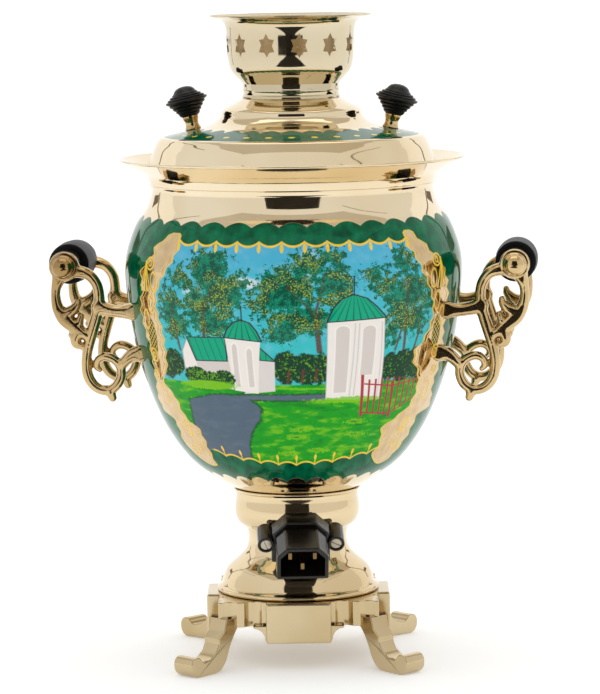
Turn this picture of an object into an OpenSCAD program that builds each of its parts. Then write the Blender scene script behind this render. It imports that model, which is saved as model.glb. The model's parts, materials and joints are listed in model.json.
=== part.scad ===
// Painted brass electric samovar, about three litres, in millimetres.
// The mains inlet side faces -Y and the tap side faces +Y. Z is up and the soles of the feet stand on z = 0.

/* [Placing] */
// How far the samovar's own axis stands from the origin, towards the inlet side
axis_y = -24; // [-30:0.5:-10]
// How far the vessel, handles, tap and lid are turned on the pedestal
body_turn = -5.6; // [-8:0.1:8]

/* [Body] */
// Thickness of the spun brass sheet
wall = 0.9; // [0.8:0.1:1.2]
// Largest radius of the vessel
belly_r = 97.4; // [94:0.1:99]
// Height of the rim of the vessel's neck
neck_z = 276.5; // [275:0.5:277]
// Radius of the drip ring's rolled edge
ring_r = 99.8; // [98:0.1:104]

/* [Base] */
// Half of the square corner-to-corner block of the base casting
base_half = 46; // [44:0.5:47]
// Distance of each side panel from the centre
panel_out = 53; // [51:0.5:56]
// Half of the width of a side panel
panel_half = 18.6; // [16:0.2:20]
// Height of the top of the base casting
base_top = 39; // [38:0.5:39]
// Height of the arched underside of the base casting
arch_z = 24.5; // [22:0.5:28]
// Height of the lower edge of a side panel
panel_z = 16; // [12:0.5:20]
// Width of a leg
leg_w = 13; // [10:0.5:15]

/* [Handles] */
// Distance of a grip's centre from the samovar's axis
grip_x = 129; // [125:0.5:132]
// Height of a grip's centre
grip_z = 231; // [225:0.5:235]
// Radius of a black grip
grip_r = 11.8; // [10:0.1:13]
// Half the length of a black grip, which ends at the long eyes of its brackets
grip_half = 17; // [14:0.5:26]
// Distance of a bracket's middle plane from the middle of its grip
bracket_y = 31; // [29:0.5:34]
// Thickness of a cast bracket
bracket_t = 8; // [6:0.5:9]
// Height of a bracket's upper foot on the vessel
upper_foot_z = 203; // [200:0.5:206]
// Height of a bracket's lower foot on the vessel
lower_foot_z = 180.5; // [178:0.5:183]

/* [Lid] */
// Distance of a knob's stem from the axis
knob_x = 57; // [54:0.5:62]
// Radius of a black knob
knob_r = 12.3; // [10:0.1:13]
// Radius of the steam neck on top of the lid
steam_neck_r = 26.3; // [25:0.1:26.4]

/* [Teapot ring] */
// Height of the teapot ring's upper edge
crown_top = 372.9; // [372:0.1:376]
// Radius of the teapot ring's upper edge
crown_rim_r = 46.8; // [45:0.1:50]
// Number of pierced stars
star_count = 12; // [8:1:14]
// Turn of the first star from the front
star_turn = 13.6; // [0:0.1:29]

/* [Tap] */
// Height of the tap's shank
tap_z = 137; // [134:0.5:140]
// Distance of the tap's plug from the samovar's axis
plug_y = 118; // [117:0.5:120]
// Distance of the middle of the spout from the samovar's axis
spout_y = 141.5; // [140:0.5:143]
// Height of the spout's mouth
spout_z = 108; // [104:0.5:112]
// Radius of the spout's bore
spout_bore = 4; // [3:0.1:4.4]

/* [Mains inlet] */
// Downward tilt of the inlet
inlet_tilt = 23; // [20:0.5:26]
// Turn of the inlet from the front
inlet_turn = 2.5; // [-4:0.1:4]
// Distance between the inlet's two screws
inlet_pitch = 40; // [40:0.5:41]

/* [Hidden] */
$fn = 96;

brass = [0.80, 0.68, 0.43];
cast_brass = [0.78, 0.66, 0.42];
green = [0.0, 0.33, 0.25];
black = [0.07, 0.07, 0.07];
steel = [0.66, 0.67, 0.68];
tin = [0.74, 0.75, 0.74];
rubber = [0.45, 0.12, 0.08];

// Points of a smooth curve that passes through each point of a list.
function through(p, n) = concat(
    [for (i = [0 : len(p) - 2]) for (k = [0 : n - 1])
        let (
            a = p[max(i - 1, 0)], b = p[i], c = p[i + 1], d = p[min(i + 2, len(p) - 1)], t = k / n
        )
        0.5 * (2 * b + (c - a) * t + (2 * a - 5 * b + 4 * c - d) * t * t
            + (3 * b - a - 3 * c + d) * t * t * t)],
    [p[len(p) - 1]]);
function backwards(p) = [for (i = [len(p) - 1 : -1 : 0]) p[i]];
// The outline moved sideways by d, to the left of its direction of travel.
function beside(p, d) = [for (i = [0 : len(p) - 1])
    let (v = p[min(i + 1, len(p) - 1)] - p[max(i - 1, 0)])
    p[i] + [-v[1], v[0]] * d / norm(v)];

// Vessel outline from the neck's rim down to the pedestal.
body_line = concat([[82.2, neck_z]], through([
    [82.2, neck_z - 0.6], [81.4, 272], [84.3, 263], [90.8, 253.3], [96, 239], [belly_r, 227],
    [96.2, 209.5], [92.2, 184], [85.4, 160.5], [75.3, 137], [62.3, 118.3], [47.8, 106.5], [36, 99.5]
], 3));
// Pedestal outline from its upper lip down to its foot.
pedestal_line = concat(
    [[36.6, 98.1], [35.5, 96.6]],
    through([[35.5, 94], [36.2, 86], [34.6, 80], [30.2, 75.8], [28.6, 70], [30.2, 63], [34.6, 58],
        [40.4, 53], [43, 48.5], [44.4, 43.6], [46.6, 41.6]], 3),
    [[47.2, 40.6], [47, 39]]);
// Lid outline from the steam neck down to the foot that rests on the drip ring.
lid_line = concat(
    [[steam_neck_r, 333.6], [steam_neck_r, 325], [28.4, 325]],
    through([[29, 324.4], [32, 322.6], [36.6, 320.3], [39.6, 318], [40.4, 315.6]], 3),
    through([[41.2, 314.2], [44.2, 311.4], [50, 309]], 3),
    [[75.2, 303.2]],
    through([[76.8, 302], [79.3, 297.6], [81.4, 292], [84.4, 284.8]], 3));
// Teapot ring outline from under its rolled rim down to its collar.
crown_line = concat(
    through([[45.2, 371.6], [41.4, 370.6], [38.4, 368.4], [37, 364], [36.5, 354], [36, 347],
        [34.4, 341], [30.8, 336.7], [28.5, 334.2]], 3),
    [[27.9, 333.4]]);
seat_z = 283.2;

module placed() { translate([0, axis_y, 0]) children(); }
module turned() { placed() rotate([0, 0, body_turn]) children(); }
module solid_of(line) {
    rotate_extrude() polygon(concat([[0, line[0][1]]], line, [[0, line[len(line) - 1][1]]]));
}
module spun(line, t) { rotate_extrude() polygon(concat(line, backwards(beside(line, -t)))); }
module vessel_outside(grow = 0) { solid_of(beside(body_line, grow)); }
module vessel_inside() { vessel_outside(-wall); }
module along_x(x, y, z) { translate([x, y, z]) rotate([0, 90, 0]) children(); }
module along_y(x, y, z) { translate([x, y, z]) rotate([-90, 0, 0]) children(); }
module hex(r, h) { cylinder(r = r, h = h, $fn = 6); }
module tube(outer_r, inner_r, h) {
    difference() {
        cylinder(r = outer_r, h = h);
        translate([0, 0, -1]) cylinder(r = inner_r, h = h + 2);
    }
}
module bar(a, b, r) {
    d = b - a;
    translate(a) rotate([0, acos(d[2] / norm(d)), atan2(d[1], d[0])]) cylinder(r = r, h = norm(d), $fn = 24);
}
module wire(points, r) {
    for (i = [0 : len(points) - 2]) bar(points[i], points[i + 1], (i % 2 == 0 ? 1 : 0.95) * r);
    for (i = [1 : len(points) - 2]) translate(points[i]) sphere(r = 1.08 * r, $fn = 24);
}

// ---- Base and pedestal ----
flute_r = 6.4;
module base_plan() {
    difference() {
        square(2 * base_half, center = true);
        for (a = [0 : 90 : 270]) rotate(a) for (m = [-1, 1]) {
            translate([m * 26, -base_half - 3.6]) circle(r = flute_r);
            translate([m * 39.4, -base_half - 4]) circle(r = flute_r - 0.6);
        }
    }
    square([2 * panel_half, 2 * panel_out], center = true);
    square([2 * panel_out, 2 * panel_half], center = true);
}
// Side view of a leg: distance from the centre along the diagonal, and height.
leg_line = concat(
    through([[66, 29], [67, 16], [70.5, 12], [76, 9.8], [84, 9.6], [90.5, 11], [93.3, 8.2], [92.6, 3.2],
        [88.5, 0]], 3),
    through([[70, 0], [65, 6], [62, 13], [59, 19], [56, 27]], 3));
module leg() {
    rotate([90, 0, 0]) translate([0, 0, -leg_w / 2]) linear_extrude(leg_w) polygon(leg_line);
}
cover_hole_r = 38;
module base_casting() {
    color(cast_brass) placed() {
        difference() {
            union() {
                translate([0, 0, arch_z]) linear_extrude(base_top - arch_z) base_plan();
                for (a = [0 : 90 : 270]) rotate(a)
                    translate([-panel_half, -panel_out, panel_z]) cube([2 * panel_half, 6, 20]);
            }
            translate([-base_half + 4, -base_half + 4, 0]) cube([2 * base_half - 8, 2 * base_half - 8, 35]);
            translate([0, 0, 30]) cylinder(r = cover_hole_r, h = 20);
        }
        for (a = [45 : 90 : 315]) rotate(a) leg();
    }
}
module bottom_cover() {
    color(steel) placed() translate([0, 0, 33.4]) difference() {
        cylinder(r = 41, h = 1.6);
        translate([0, 0, -1]) cylinder(r = 3.3, h = 4);
    }
}
module tie_rod() {
    color(steel) placed() {
        translate([0, 0, 24]) cylinder(r = 3, h = 74.6);
        translate([0, 0, 98.6]) cylinder(r = 9, h = 2);
    }
}
module tie_washer() { color(steel) placed() translate([0, 0, 31.8]) tube(9, 3.2, 1.6); }
module tie_nut() {
    color(steel) placed() translate([0, 0, 26.8]) difference() {
        hex(5.8, 5);
        translate([0, 0, -1]) cylinder(r = 3, h = 7);
    }
}
module pedestal() {
    color(brass) difference() {
        placed() spun(pedestal_line, wall);
        at_inlet() translate([-14.3, -6, -9.6]) cube([28.6, 40, 19.4]);
        at_inlet() for (m = [-1, 1]) along_y(m * inlet_pitch / 2, -10, 0) cylinder(r = 1.8, h = 36);
    }
}

// ---- Vessel ----
floor_z = 100.6;
bush_x = 12.9;
bush_y = 17.8;
screw_r = 2;
module body_shell() {
    color(green) turned() difference() {
        spun(body_line, wall);
        along_y(0, 60, tap_z) cylinder(r = 6.8, h = 40);
        for (m = [-1, 1]) for (n = [-1, 1]) for (z = [upper_foot_z, lower_foot_z])
            along_x(m > 0 ? 70 : -120, n * bracket_y, z) cylinder(r = screw_r + 0.2, h = 50);
    }
}
module vessel_floor() {
    color(tin) turned() difference() {
        intersection() {
            translate([0, 0, floor_z]) cylinder(r = 60, h = 1.5);
            vessel_inside();
        }
        for (m = [-1, 1]) translate([m * bush_x, bush_y, 90]) cylinder(r = 6.2, h = 20);
    }
}
module top_ring() {
    outside = through([[82.2, neck_z], [84.5, 281.4], [91.7, 286], [98.9, 289.9]], 3);
    inside = through([[98.2, 291], [91.2, 287.2], [86.6, 284.3]], 2);
    color(brass) turned() rotate_extrude() union() {
        polygon(concat(outside, inside, [[85.6, seat_z], [80.8, seat_z], [80.8, neck_z]]));
        translate([ring_r - 0.9, 290.5]) circle(r = 0.9, $fn = 24);
    }
}

// ---- Heating element and wiring ----
rod_r = 4.2;
loop_r = 40;
loop_z = 122;
loop_gap = 40;
module heater_element() {
    ends = [for (m = [-1, 1]) loop_r * [m * sin(loop_gap), cos(loop_gap)]];
    color(steel) turned() {
        translate([0, 0, loop_z]) rotate(90 + loop_gap)
            rotate_extrude(angle = 360 - 2 * loop_gap) translate([loop_r, 0]) circle(r = rod_r, $fn = 32);
        for (k = [0, 1]) let (m = 2 * k - 1) {
            translate([m * bush_x, bush_y, 86]) cylinder(r = rod_r, h = loop_z - 86);
            bar([m * bush_x, bush_y, loop_z], [ends[k][0], ends[k][1], loop_z], 0.97 * rod_r);
            translate([m * bush_x, bush_y, loop_z]) sphere(r = 1.06 * rod_r, $fn = 32);
            translate([ends[k][0], ends[k][1], loop_z]) sphere(r = 1.06 * rod_r, $fn = 32);
        }
    }
}
module at_bushes() { turned() for (m = [-1, 1]) translate([m * bush_x, bush_y, 0]) children(); }
module heater_bushes() {
    color(brass) at_bushes() difference() {
        union() {
            translate([0, 0, 90]) cylinder(r = 6, h = 14.3);
            translate([0, 0, 103.3]) hex(9, 3);
        }
        translate([0, 0, 80]) cylinder(r = rod_r, h = 40);
    }
}
module heater_gaskets() { color(rubber) at_bushes() translate([0, 0, 102.1]) tube(8.6, 6.2, 1.2); }
module heater_nuts() {
    color(brass) at_bushes() translate([0, 0, 96.6]) difference() {
        hex(9.4, 4);
        translate([0, 0, -1]) cylinder(r = 6, h = 6);
    }
}
module heater_terminals() {
    color([0.85, 0.84, 0.8]) at_bushes() translate([0, 0, 82]) cylinder(r = 3.4, h = 4);
    color(steel) at_bushes() translate([-0.4, -3, 74]) cube([0.8, 6, 8]);
}
module thermal_cutout() {
    color(black) turned() {
        translate([0, -20, 94]) cylinder(r = 8.4, h = 6.6);
        for (m = [-1, 1]) translate([m * 5 - 0.4, -23, 87]) cube([0.8, 6, 7]);
    }
}
module live_leads() {
    color([0.35, 0.22, 0.12]) placed() {
        wire([[-5.8, -22.4, 85.1], [-10, -10, 77], [-15.5, 8, 72], [-14.3, 18.5, 72.6]], 1.4);
        wire([[8.1, -21.8, 85.1], [6.6, -17.6, 83.6], [3.4, -18.4, 85.7]], 1.2);
        wire([[-6.9, -17, 85.8], [-3.6, -12, 83], [4, -8, 74], [14, 0, 70], [17, 9, 70.4], [12.6, 16, 72.6]], 1.2);
    }
}
module earth_lead() {
    color([0.45, 0.6, 0.1]) placed()
        wire([[1, -19.8, 79], [12, -4, 66], [15.2, 15.2, 61]], 1.3);
    color(steel) placed() rotate([0, 0, 45]) along_x(22.6, 0, 60) cylinder(r = 4, h = 1.2);
}

// ---- Mains inlet; its own frame points outwards along -Y ----
module at_inlet() {
    placed() rotate([0, 0, inlet_turn]) translate([0, -45, 73]) rotate([inlet_tilt, 0, 0]) children();
}
module six_sided(w, h, bevel, length) {
    rotate([90, 0, 0]) linear_extrude(length) polygon([
        [-w / 2, -h / 2], [w / 2, -h / 2], [w / 2, h / 2 - bevel], [w / 2 - bevel, h / 2],
        [-w / 2 + bevel, h / 2], [-w / 2, h / 2 - bevel]]);
}
module inlet_housing() {
    color(black) difference() {
        at_inlet() difference() {
            union() {
                six_sided(28.4, 20.4, 5.4, 22.5);
                translate([0, 10, 0]) six_sided(33.4, 26, 8, 10);
                translate([0, 22, 0]) six_sided(27.6, 18.6, 5, 22);
                for (m = [-1, 1]) along_y(m * inlet_pitch / 2, 0, 0) cylinder(r = 4.6, h = 26);
                for (m = [-1, 1]) translate([m * 17 - 3, 1, -3]) cube([6, 9, 6]);
            }
            translate([0, -6, 0]) six_sided(24.4, 16.4, 4.6, 20);
            for (m = [-1, 1]) along_y(m * inlet_pitch / 2, -5, 0) cylinder(r = 1.9, h = 40);
            for (m = [-1, 1]) translate([m * 7 - 1.1, -10, 0.3]) cube([2.2, 40, 4.2]);
            translate([-1.1, -10, -5.9]) cube([2.2, 40, 4.2]);
        }
        placed() difference() {
            solid_of(concat([[36.9, 99]], beside(pedestal_line, 0.1)));
            rotate([0, 0, inlet_turn]) translate([0, -45, 73]) rotate([inlet_tilt, 0, 0])
                translate([-13.9, -6, -9.4]) cube([27.8, 40, 18.9]);
        }
    }
}
module inlet_pins() {
    color(tin) at_inlet() {
        for (m = [-1, 1]) translate([m * 7 - 1, -18, 0.4]) cube([2, 42, 4]);
        translate([-1, -19, -5.8]) cube([2, 43, 4]);
    }
}
module inlet_screws() {
    color(steel) at_inlet() for (m = [-1, 1]) along_y(m * inlet_pitch / 2, -2, 0) difference() {
        union() {
            cylinder(r = 3.6, h = 2);
            cylinder(r = 1.7, h = 33);
        }
        translate([-5, -0.5, -1]) cube([10, 1, 2]);
    }
}
module inlet_nuts() {
    color(steel) difference() {
        at_inlet() for (m = [-1, 1]) along_y(m * inlet_pitch / 2, 22.4, 0) difference() {
            hex(3.4, 8.4);
            translate([0, 0, -1]) cylinder(r = 1.7, h = 12);
        }
        placed() difference() {
            translate([0, 0, 60]) cylinder(r = 60, h = 38);
            solid_of(concat([[35.4, 99]], beside(pedestal_line, -wall - 0.1)));
        }
    }
}

// ---- Handles: side view in x and z of the right-hand bracket ----
upper_ring = [119.5, 209.5];
lower_ring = [103.8, 168];
module strip(a, b, w) {
    d = b - a;
    translate(a) rotate(atan2(d[1], d[0])) translate([0, -w / 2]) square([norm(d), w]);
}
module dot(p, r) { translate(p) circle(r = r, $fn = 32); }
module bracket_plan() {
    translate(upper_ring) difference() { circle(r = 15.4); circle(r = 10.4); }
    translate(lower_ring) difference() { circle(r = 12.7); circle(r = 7.4); }
    dot([grip_x, grip_z], 8.9);
    strip([120, 222], [grip_x, grip_z], 7);
    strip([106.6, 207], [111.4, 184], 5.6);
    dot([111.4, 184], 3.6);
    strip([111.4, 184], [114.2, 170], 5.4);
    strip([96, upper_foot_z - 0.5], [108, upper_foot_z + 2], 6.4);
    strip([91, lower_foot_z], [101, lower_foot_z + 1.5], 6);
    dot([101, lower_foot_z + 1.5], 3.8);
    strip([101, lower_foot_z + 1.5], [111, lower_foot_z + 4], 5.2);
    strip([95.5, 173], [91.5, 178.5], 5);
    strip([125, 196.5], [119, 187], 6);
    dot([119, 187], 3.8);
    strip([119, 187], [112, 188], 4.6);
    dot([120.6, 183], 2.6);
    strip([126, 200.5], [121.6, 207.5], 4);
    dot([121.6, 207.5], 2.8);
    strip([99.6, 158.6], [98.4, 153.4], 4.4);
    dot([98.4, 153.4], 3);
}
module bracket(side, end) {
    color(cast_brass) turned() difference() {
        mirror([side < 0 ? 1 : 0, 0, 0]) difference() {
            union() {
                translate([0, end * bracket_y + bracket_t / 2, 0]) rotate([90, 0, 0])
                    linear_extrude(bracket_t) bracket_plan();
                along_y(grip_x, end > 0 ? grip_half : -bracket_y, grip_z) cylinder(r = 8.6, h = bracket_y - grip_half);
                along_x(82, end * bracket_y, upper_foot_z) cylinder(r = 5.4, h = 14.5);
                along_x(78, end * bracket_y, lower_foot_z) cylinder(r = 5.4, h = 14.5);
            }
            along_y(grip_x, -60, grip_z) cylinder(r = 3.2, h = 120);
            for (z = [upper_foot_z, lower_foot_z]) along_x(70, end * bracket_y, z) cylinder(r = screw_r, h = 28);
        }
        vessel_outside();
    }
}
module bracket_left_front() { bracket(-1, -1); }
module bracket_left_rear() { bracket(-1, 1); }
module bracket_right_front() { bracket(1, -1); }
module bracket_right_rear() { bracket(1, 1); }
module grip(side) {
    half = grip_half;
    color(black) turned() along_y(side * grip_x, 0, grip_z) rotate_extrude() polygon(concat(
        [[3.2, -half], [grip_r - 1, -half]],
        through([[grip_r, -half + 1.2], [grip_r + 0.7, 0], [grip_r, half - 1.2]], 4),
        [[grip_r - 1, half], [3.2, half]]));
}
module grip_left() { grip(-1); }
module grip_right() { grip(1); }
module grip_rod(side) {
    color(steel) turned() along_y(side * grip_x, -bracket_y - 8, grip_z) cylinder(r = 3, h = 2 * bracket_y + 16);
}
module grip_rod_left() { grip_rod(-1); }
module grip_rod_right() { grip_rod(1); }
module grip_cap_nuts() {
    color(cast_brass) turned() for (side = [-1, 1]) for (end = [-1, 1])
        translate([side * grip_x, 0, grip_z]) mirror([0, end < 0 ? 1 : 0, 0])
            along_y(0, bracket_y + bracket_t / 2, 0) rotate_extrude() polygon(concat(
                [[3, 0], [6.6, 0]],
                through([[6.4, 1], [6, 3.6], [4, 5.4], [0, 6]], 3),
                [[0, 4.2], [3, 4.2]]));
}
module handle_screws() {
    color(steel) turned() for (side = [-1, 1]) mirror([side < 0 ? 1 : 0, 0, 0]) for (end = [-1, 1]) {
        along_x(83.6, end * bracket_y, upper_foot_z) { cylinder(r = 4.2, h = 2.4); cylinder(r = screw_r, h = 14); }
        along_x(78.6, end * bracket_y, lower_foot_z) { cylinder(r = 4.2, h = 2.4); cylinder(r = screw_r, h = 19); }
    }
}

// ---- Tap; the tap's frame is the turned frame ----
tap_slope = 27;
gasket_t = 1.2;
module rosette_disc() {
    translate([0, 75, tap_z]) rotate([-tap_slope, 0, 0]) along_y(0, -4, 0) {
        cylinder(r = 17, h = 9);
        translate([0, 0, 9]) cylinder(r1 = 17, r2 = 11, h = 3);
    }
}
module tap_rosette() {
    color(cast_brass) turned() difference() {
        rosette_disc();
        vessel_outside(gasket_t);
        along_y(0, 50, tap_z) cylinder(r = 6.7, h = 60);
    }
}
module tap_gasket() {
    color(rubber) turned() intersection() {
        translate([0, 75, tap_z]) rotate([-tap_slope, 0, 0]) along_y(0, -6, 0) tube(15.4, 8, 20);
        spun(beside(body_line, gasket_t), gasket_t - 0.02);
    }
}
elbow_r = 8;
plug_top = tap_z + 20;
plug_low = tap_z - 14;
module tap_way(r, shank_r, extra) {
    along_y(0, 56 - extra, tap_z) cylinder(r = shank_r, h = plug_y - 56 + extra);
    along_y(0, plug_y, tap_z) cylinder(r = r, h = spout_y - elbow_r - plug_y);
    translate([0, spout_y - elbow_r, tap_z - elbow_r]) rotate([90, 0, 90])
        rotate_extrude(angle = 90) translate([elbow_r, 0]) circle(r = r, $fn = 48);
    translate([0, spout_y, spout_z - extra]) cylinder(r = r, h = tap_z - elbow_r - spout_z + extra);
}
module tap_body() {
    color(cast_brass) turned() difference() {
        union() {
            tap_way(5.8, 6.5, 0);
            along_y(0, 90, tap_z) cylinder(r = 8, h = 6);
            translate([0, plug_y, plug_low]) cylinder(r = 10.5, h = plug_top - plug_low);
            translate([0, plug_y, plug_top - 3]) cylinder(r = 11.6, h = 3);
            translate([0, spout_y, spout_z]) cylinder(r = 6.5, h = 4);
        }
        tap_way(spout_bore, spout_bore, 1);
        translate([0, plug_y, plug_low - 1]) cylinder(r1 = 5.5, r2 = 6.5, h = plug_top - plug_low + 2);
    }
}
module tap_plug() {
    color(brass) turned() translate([0, plug_y, 0]) difference() {
        union() {
            translate([0, 0, plug_low - 1]) cylinder(r1 = 5.45, r2 = 6.45, h = plug_top - plug_low + 2);
            translate([0, 0, plug_top + 0.4]) cylinder(r = 9, h = 3);
            translate([0, 0, plug_top + 3.4]) cylinder(r = 4, h = 8);
            translate([0, 0, plug_low - 8]) cylinder(r = 2.4, h = 8);
        }
        along_x(-20, 0, tap_z) cylinder(r = 3.6, h = 40);
    }
}
module key_plan() {
    strip([0, -3], [0, 12], 7);
    for (m = [-1, 1]) translate([m * 9, 16]) difference() { circle(r = 8); circle(r = 4.4); }
    translate([0, 27]) difference() { circle(r = 7.4); circle(r = 3.8); }
    strip([-7, 11], [7, 11], 5);
    dot([0, 35.4], 3);
}
module tap_key() {
    color(cast_brass) turned() translate([0, plug_y, plug_top + 11.4]) difference() {
        union() {
            rotate([90, 0, 0]) translate([0, 0, -2.5]) linear_extrude(5) key_plan();
            translate([0, 0, -7]) cylinder(r = 6, h = 9);
        }
        translate([0, 0, -9]) cylinder(r = 4, h = 9);
    }
}
module plug_washer() { color(brass) turned() translate([0, plug_y, plug_low - 2.2]) tube(7, 2.45, 1.2); }
module plug_nut() {
    color(brass) turned() translate([0, plug_y, plug_low - 6.2]) difference() {
        hex(5.2, 4);
        translate([0, 0, -1]) cylinder(r = 2.4, h = 6);
    }
}
wedge_y = 64;
module tap_wedge() {
    color(brass) turned() difference() {
        intersection() { along_y(0, wedge_y, tap_z) cylinder(r = 10, h = 30); vessel_inside(); }
        along_y(0, 50, tap_z) cylinder(r = 6.6, h = 60);
    }
}
module tap_backnut() {
    color(brass) turned() along_y(0, wedge_y - 5, tap_z) difference() {
        hex(10.4, 5);
        translate([0, 0, -1]) cylinder(r = 6.5, h = 7);
    }
}

// ---- Lid ----
knob_base_z = 303.2 + (75.2 - knob_x) * (309 - 303.2) / (75.2 - 50);
knob_lean = atan((309 - 303.2) / (75.2 - 50));
module lid() {
    color(brass) turned() difference() {
        spun(lid_line, wall);
        for (m = [-1, 1]) on_knob(m) translate([0, 0, -5]) cylinder(r = 2.1, h = 10);
    }
}
module on_knob(m) {
    mirror([m < 0 ? 1 : 0, 0, 0]) translate([knob_x, 0, knob_base_z]) rotate([0, knob_lean, 0]) children();
}
module lid_spigot() {
    color(tin) turned() rotate_extrude() polygon([
        [79.3, 270], [80.1, 270], [80.1, seat_z + 0.1], [83.6, seat_z + 0.1],
        [83.3, seat_z + 0.9], [79.3, seat_z + 0.9]]);
}
module steam_plate() {
    color(brass) turned() translate([0, 0, 331.4]) difference() {
        cylinder(r = steam_neck_r - wall, h = 1);
        for (a = [0 : 60 : 300]) rotate(a) translate([14, 0, -1]) cylinder(r = 2.5, h = 3);
        translate([0, 0, -1]) cylinder(r = 2.5, h = 3);
    }
}
stem_h = 10.2;
module knob_stem(m) {
    color(brass) turned() on_knob(m) difference() {
        rotate_extrude() polygon(concat([[0, 0]],
            through([[5.2, 0], [4.9, 1.6], [3.6, 4.6], [4.2, 8.2], [4.9, stem_h]], 3), [[0, stem_h]]));
        translate([0, 0, -1]) cylinder(r = 2, h = stem_h + 2);
    }
}
module knob_stem_left() { knob_stem(-1); }
module knob_stem_right() { knob_stem(1); }
module knob(m) {
    color(black) turned() on_knob(m) translate([0, 0, stem_h]) difference() {
        rotate_extrude() polygon(concat([[0, 0]],
            through([[5.6, 0], [6.6, 3.4], [9.6, 6.6], [knob_r, 10], [9.4, 13], [5, 17.4], [0, 18.6]], 4)));
        translate([0, 0, -1]) cylinder(r = 2, h = 10);
    }
}
module knob_left() { knob(-1); }
module knob_right() { knob(1); }
module knob_screws() {
    color(steel) turned() for (m = [-1, 1]) on_knob(m) {
        translate([0, 0, -wall - 3]) cylinder(r = 4, h = 3);
        translate([0, 0, -wall - 1]) cylinder(r = 1.95, h = stem_h + wall + 9);
    }
}

// ---- Teapot ring ----
module star() {
    linear_extrude(30) polygon([for (i = [0 : 11]) let (k = i % 2 == 0 ? 1 : 0.6)
        [4.7 * 1.08 * k * sin(30 * i), 7.6 * k * cos(30 * i)]]);
}
module teapot_ring() {
    color(brass) turned() difference() {
        union() {
            spun(crown_line, wall);
            rotate_extrude() polygon([[45.2, 371.6], [46.4, 371.6], [crown_rim_r, 372.2], [46.6, crown_top],
                [44.2, crown_top], [43.6, 372.2]]);
        }
        for (i = [0 : star_count - 1]) rotate([0, 0, star_turn - 90 + i * 360 / star_count])
            translate([25, 0, 355.6]) rotate([90, 0, 90]) star();
    }
}
module ring_collar() {
    color(brass) turned() rotate_extrude() polygon([
        [26.6, 325.1], [28.3, 325.1], [28.3, 326.2], [27.6, 326.9], [27.6, 333.4], [26.6, 333.4]]);
}

base_casting();
bottom_cover();
tie_rod();
tie_washer();
tie_nut();
pedestal();
body_shell();
vessel_floor();
top_ring();
heater_element();
heater_bushes();
heater_gaskets();
heater_nuts();
heater_terminals();
thermal_cutout();
live_leads();
earth_lead();
inlet_housing();
inlet_pins();
inlet_screws();
inlet_nuts();
bracket_left_front();
bracket_left_rear();
bracket_right_front();
bracket_right_rear();
grip_left();
grip_right();
grip_rod_left();
grip_rod_right();
grip_cap_nuts();
handle_screws();
tap_rosette();
tap_gasket();
tap_body();
tap_wedge();
tap_backnut();
tap_plug();
tap_key();
plug_washer();
plug_nut();
lid();
lid_spigot();
steam_plate();
knob_stem_left();
knob_stem_right();
knob_left();
knob_right();
knob_screws();
teapot_ring();
ring_collar();
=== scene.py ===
# %% [markdown]
# # A painted brass samovar
# An electric samovar is a brass vase on a pedestal: spun sheet for everything round, castings for the feet,
# handles and tap, and a landscape painted on the belly. This lesson dresses a finished engineering model of one.
# The frame gives every size and joint, and each cell replaces a plain part by a shaped and finished piece.

# %% Load the frame
import json
import math

import bmesh
import bpy
from mathutils import Matrix, Vector


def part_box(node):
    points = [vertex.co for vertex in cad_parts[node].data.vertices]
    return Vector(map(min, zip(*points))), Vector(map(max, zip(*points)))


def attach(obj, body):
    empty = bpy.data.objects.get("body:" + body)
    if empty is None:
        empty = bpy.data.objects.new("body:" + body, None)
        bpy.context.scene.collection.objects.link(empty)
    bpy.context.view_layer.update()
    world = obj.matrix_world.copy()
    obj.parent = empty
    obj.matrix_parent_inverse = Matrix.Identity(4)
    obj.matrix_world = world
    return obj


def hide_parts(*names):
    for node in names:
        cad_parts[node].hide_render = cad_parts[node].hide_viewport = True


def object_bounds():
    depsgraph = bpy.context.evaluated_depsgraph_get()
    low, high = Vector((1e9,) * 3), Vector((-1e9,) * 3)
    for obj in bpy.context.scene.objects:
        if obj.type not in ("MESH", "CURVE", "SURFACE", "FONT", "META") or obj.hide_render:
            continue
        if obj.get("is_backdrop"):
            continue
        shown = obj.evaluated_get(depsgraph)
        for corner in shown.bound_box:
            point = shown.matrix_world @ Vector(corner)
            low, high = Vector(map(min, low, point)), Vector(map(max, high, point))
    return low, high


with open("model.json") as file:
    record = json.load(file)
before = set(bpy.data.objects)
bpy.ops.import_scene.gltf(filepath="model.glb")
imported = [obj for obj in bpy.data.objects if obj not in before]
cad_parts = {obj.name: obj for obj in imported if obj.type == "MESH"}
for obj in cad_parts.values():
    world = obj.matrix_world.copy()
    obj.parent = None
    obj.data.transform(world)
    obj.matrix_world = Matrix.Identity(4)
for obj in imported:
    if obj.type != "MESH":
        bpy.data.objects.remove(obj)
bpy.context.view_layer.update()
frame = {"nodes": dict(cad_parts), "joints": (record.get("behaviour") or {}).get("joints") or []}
scene = bpy.context.scene

# %% [markdown]
# ## Two placings
# Every piece is modelled in millimetres around the samovar's own axis, which is easy to think in, and is moved once
# into the frame's metres. The pedestal gives the axis. The vessel is clocked a few degrees on its pedestal, as real
# ones are, and the tap's joint says by how much.

# %% Axis and clocking of the vessel
MM = 0.001


def shift(x, y, z):
    return Matrix.Translation((x, y, z))


def rotation(degrees, about="Z"):
    return Matrix.Rotation(math.radians(degrees), 4, about)


def linked(name, data):
    """A new object of the scene."""
    made = bpy.data.objects.new(name, data)
    scene.collection.objects.link(made)
    return made


def stored(name, mesh):
    """The bmesh as mesh data."""
    data = bpy.data.meshes.new(name)
    mesh.to_mesh(data)
    mesh.free()
    return data


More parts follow.
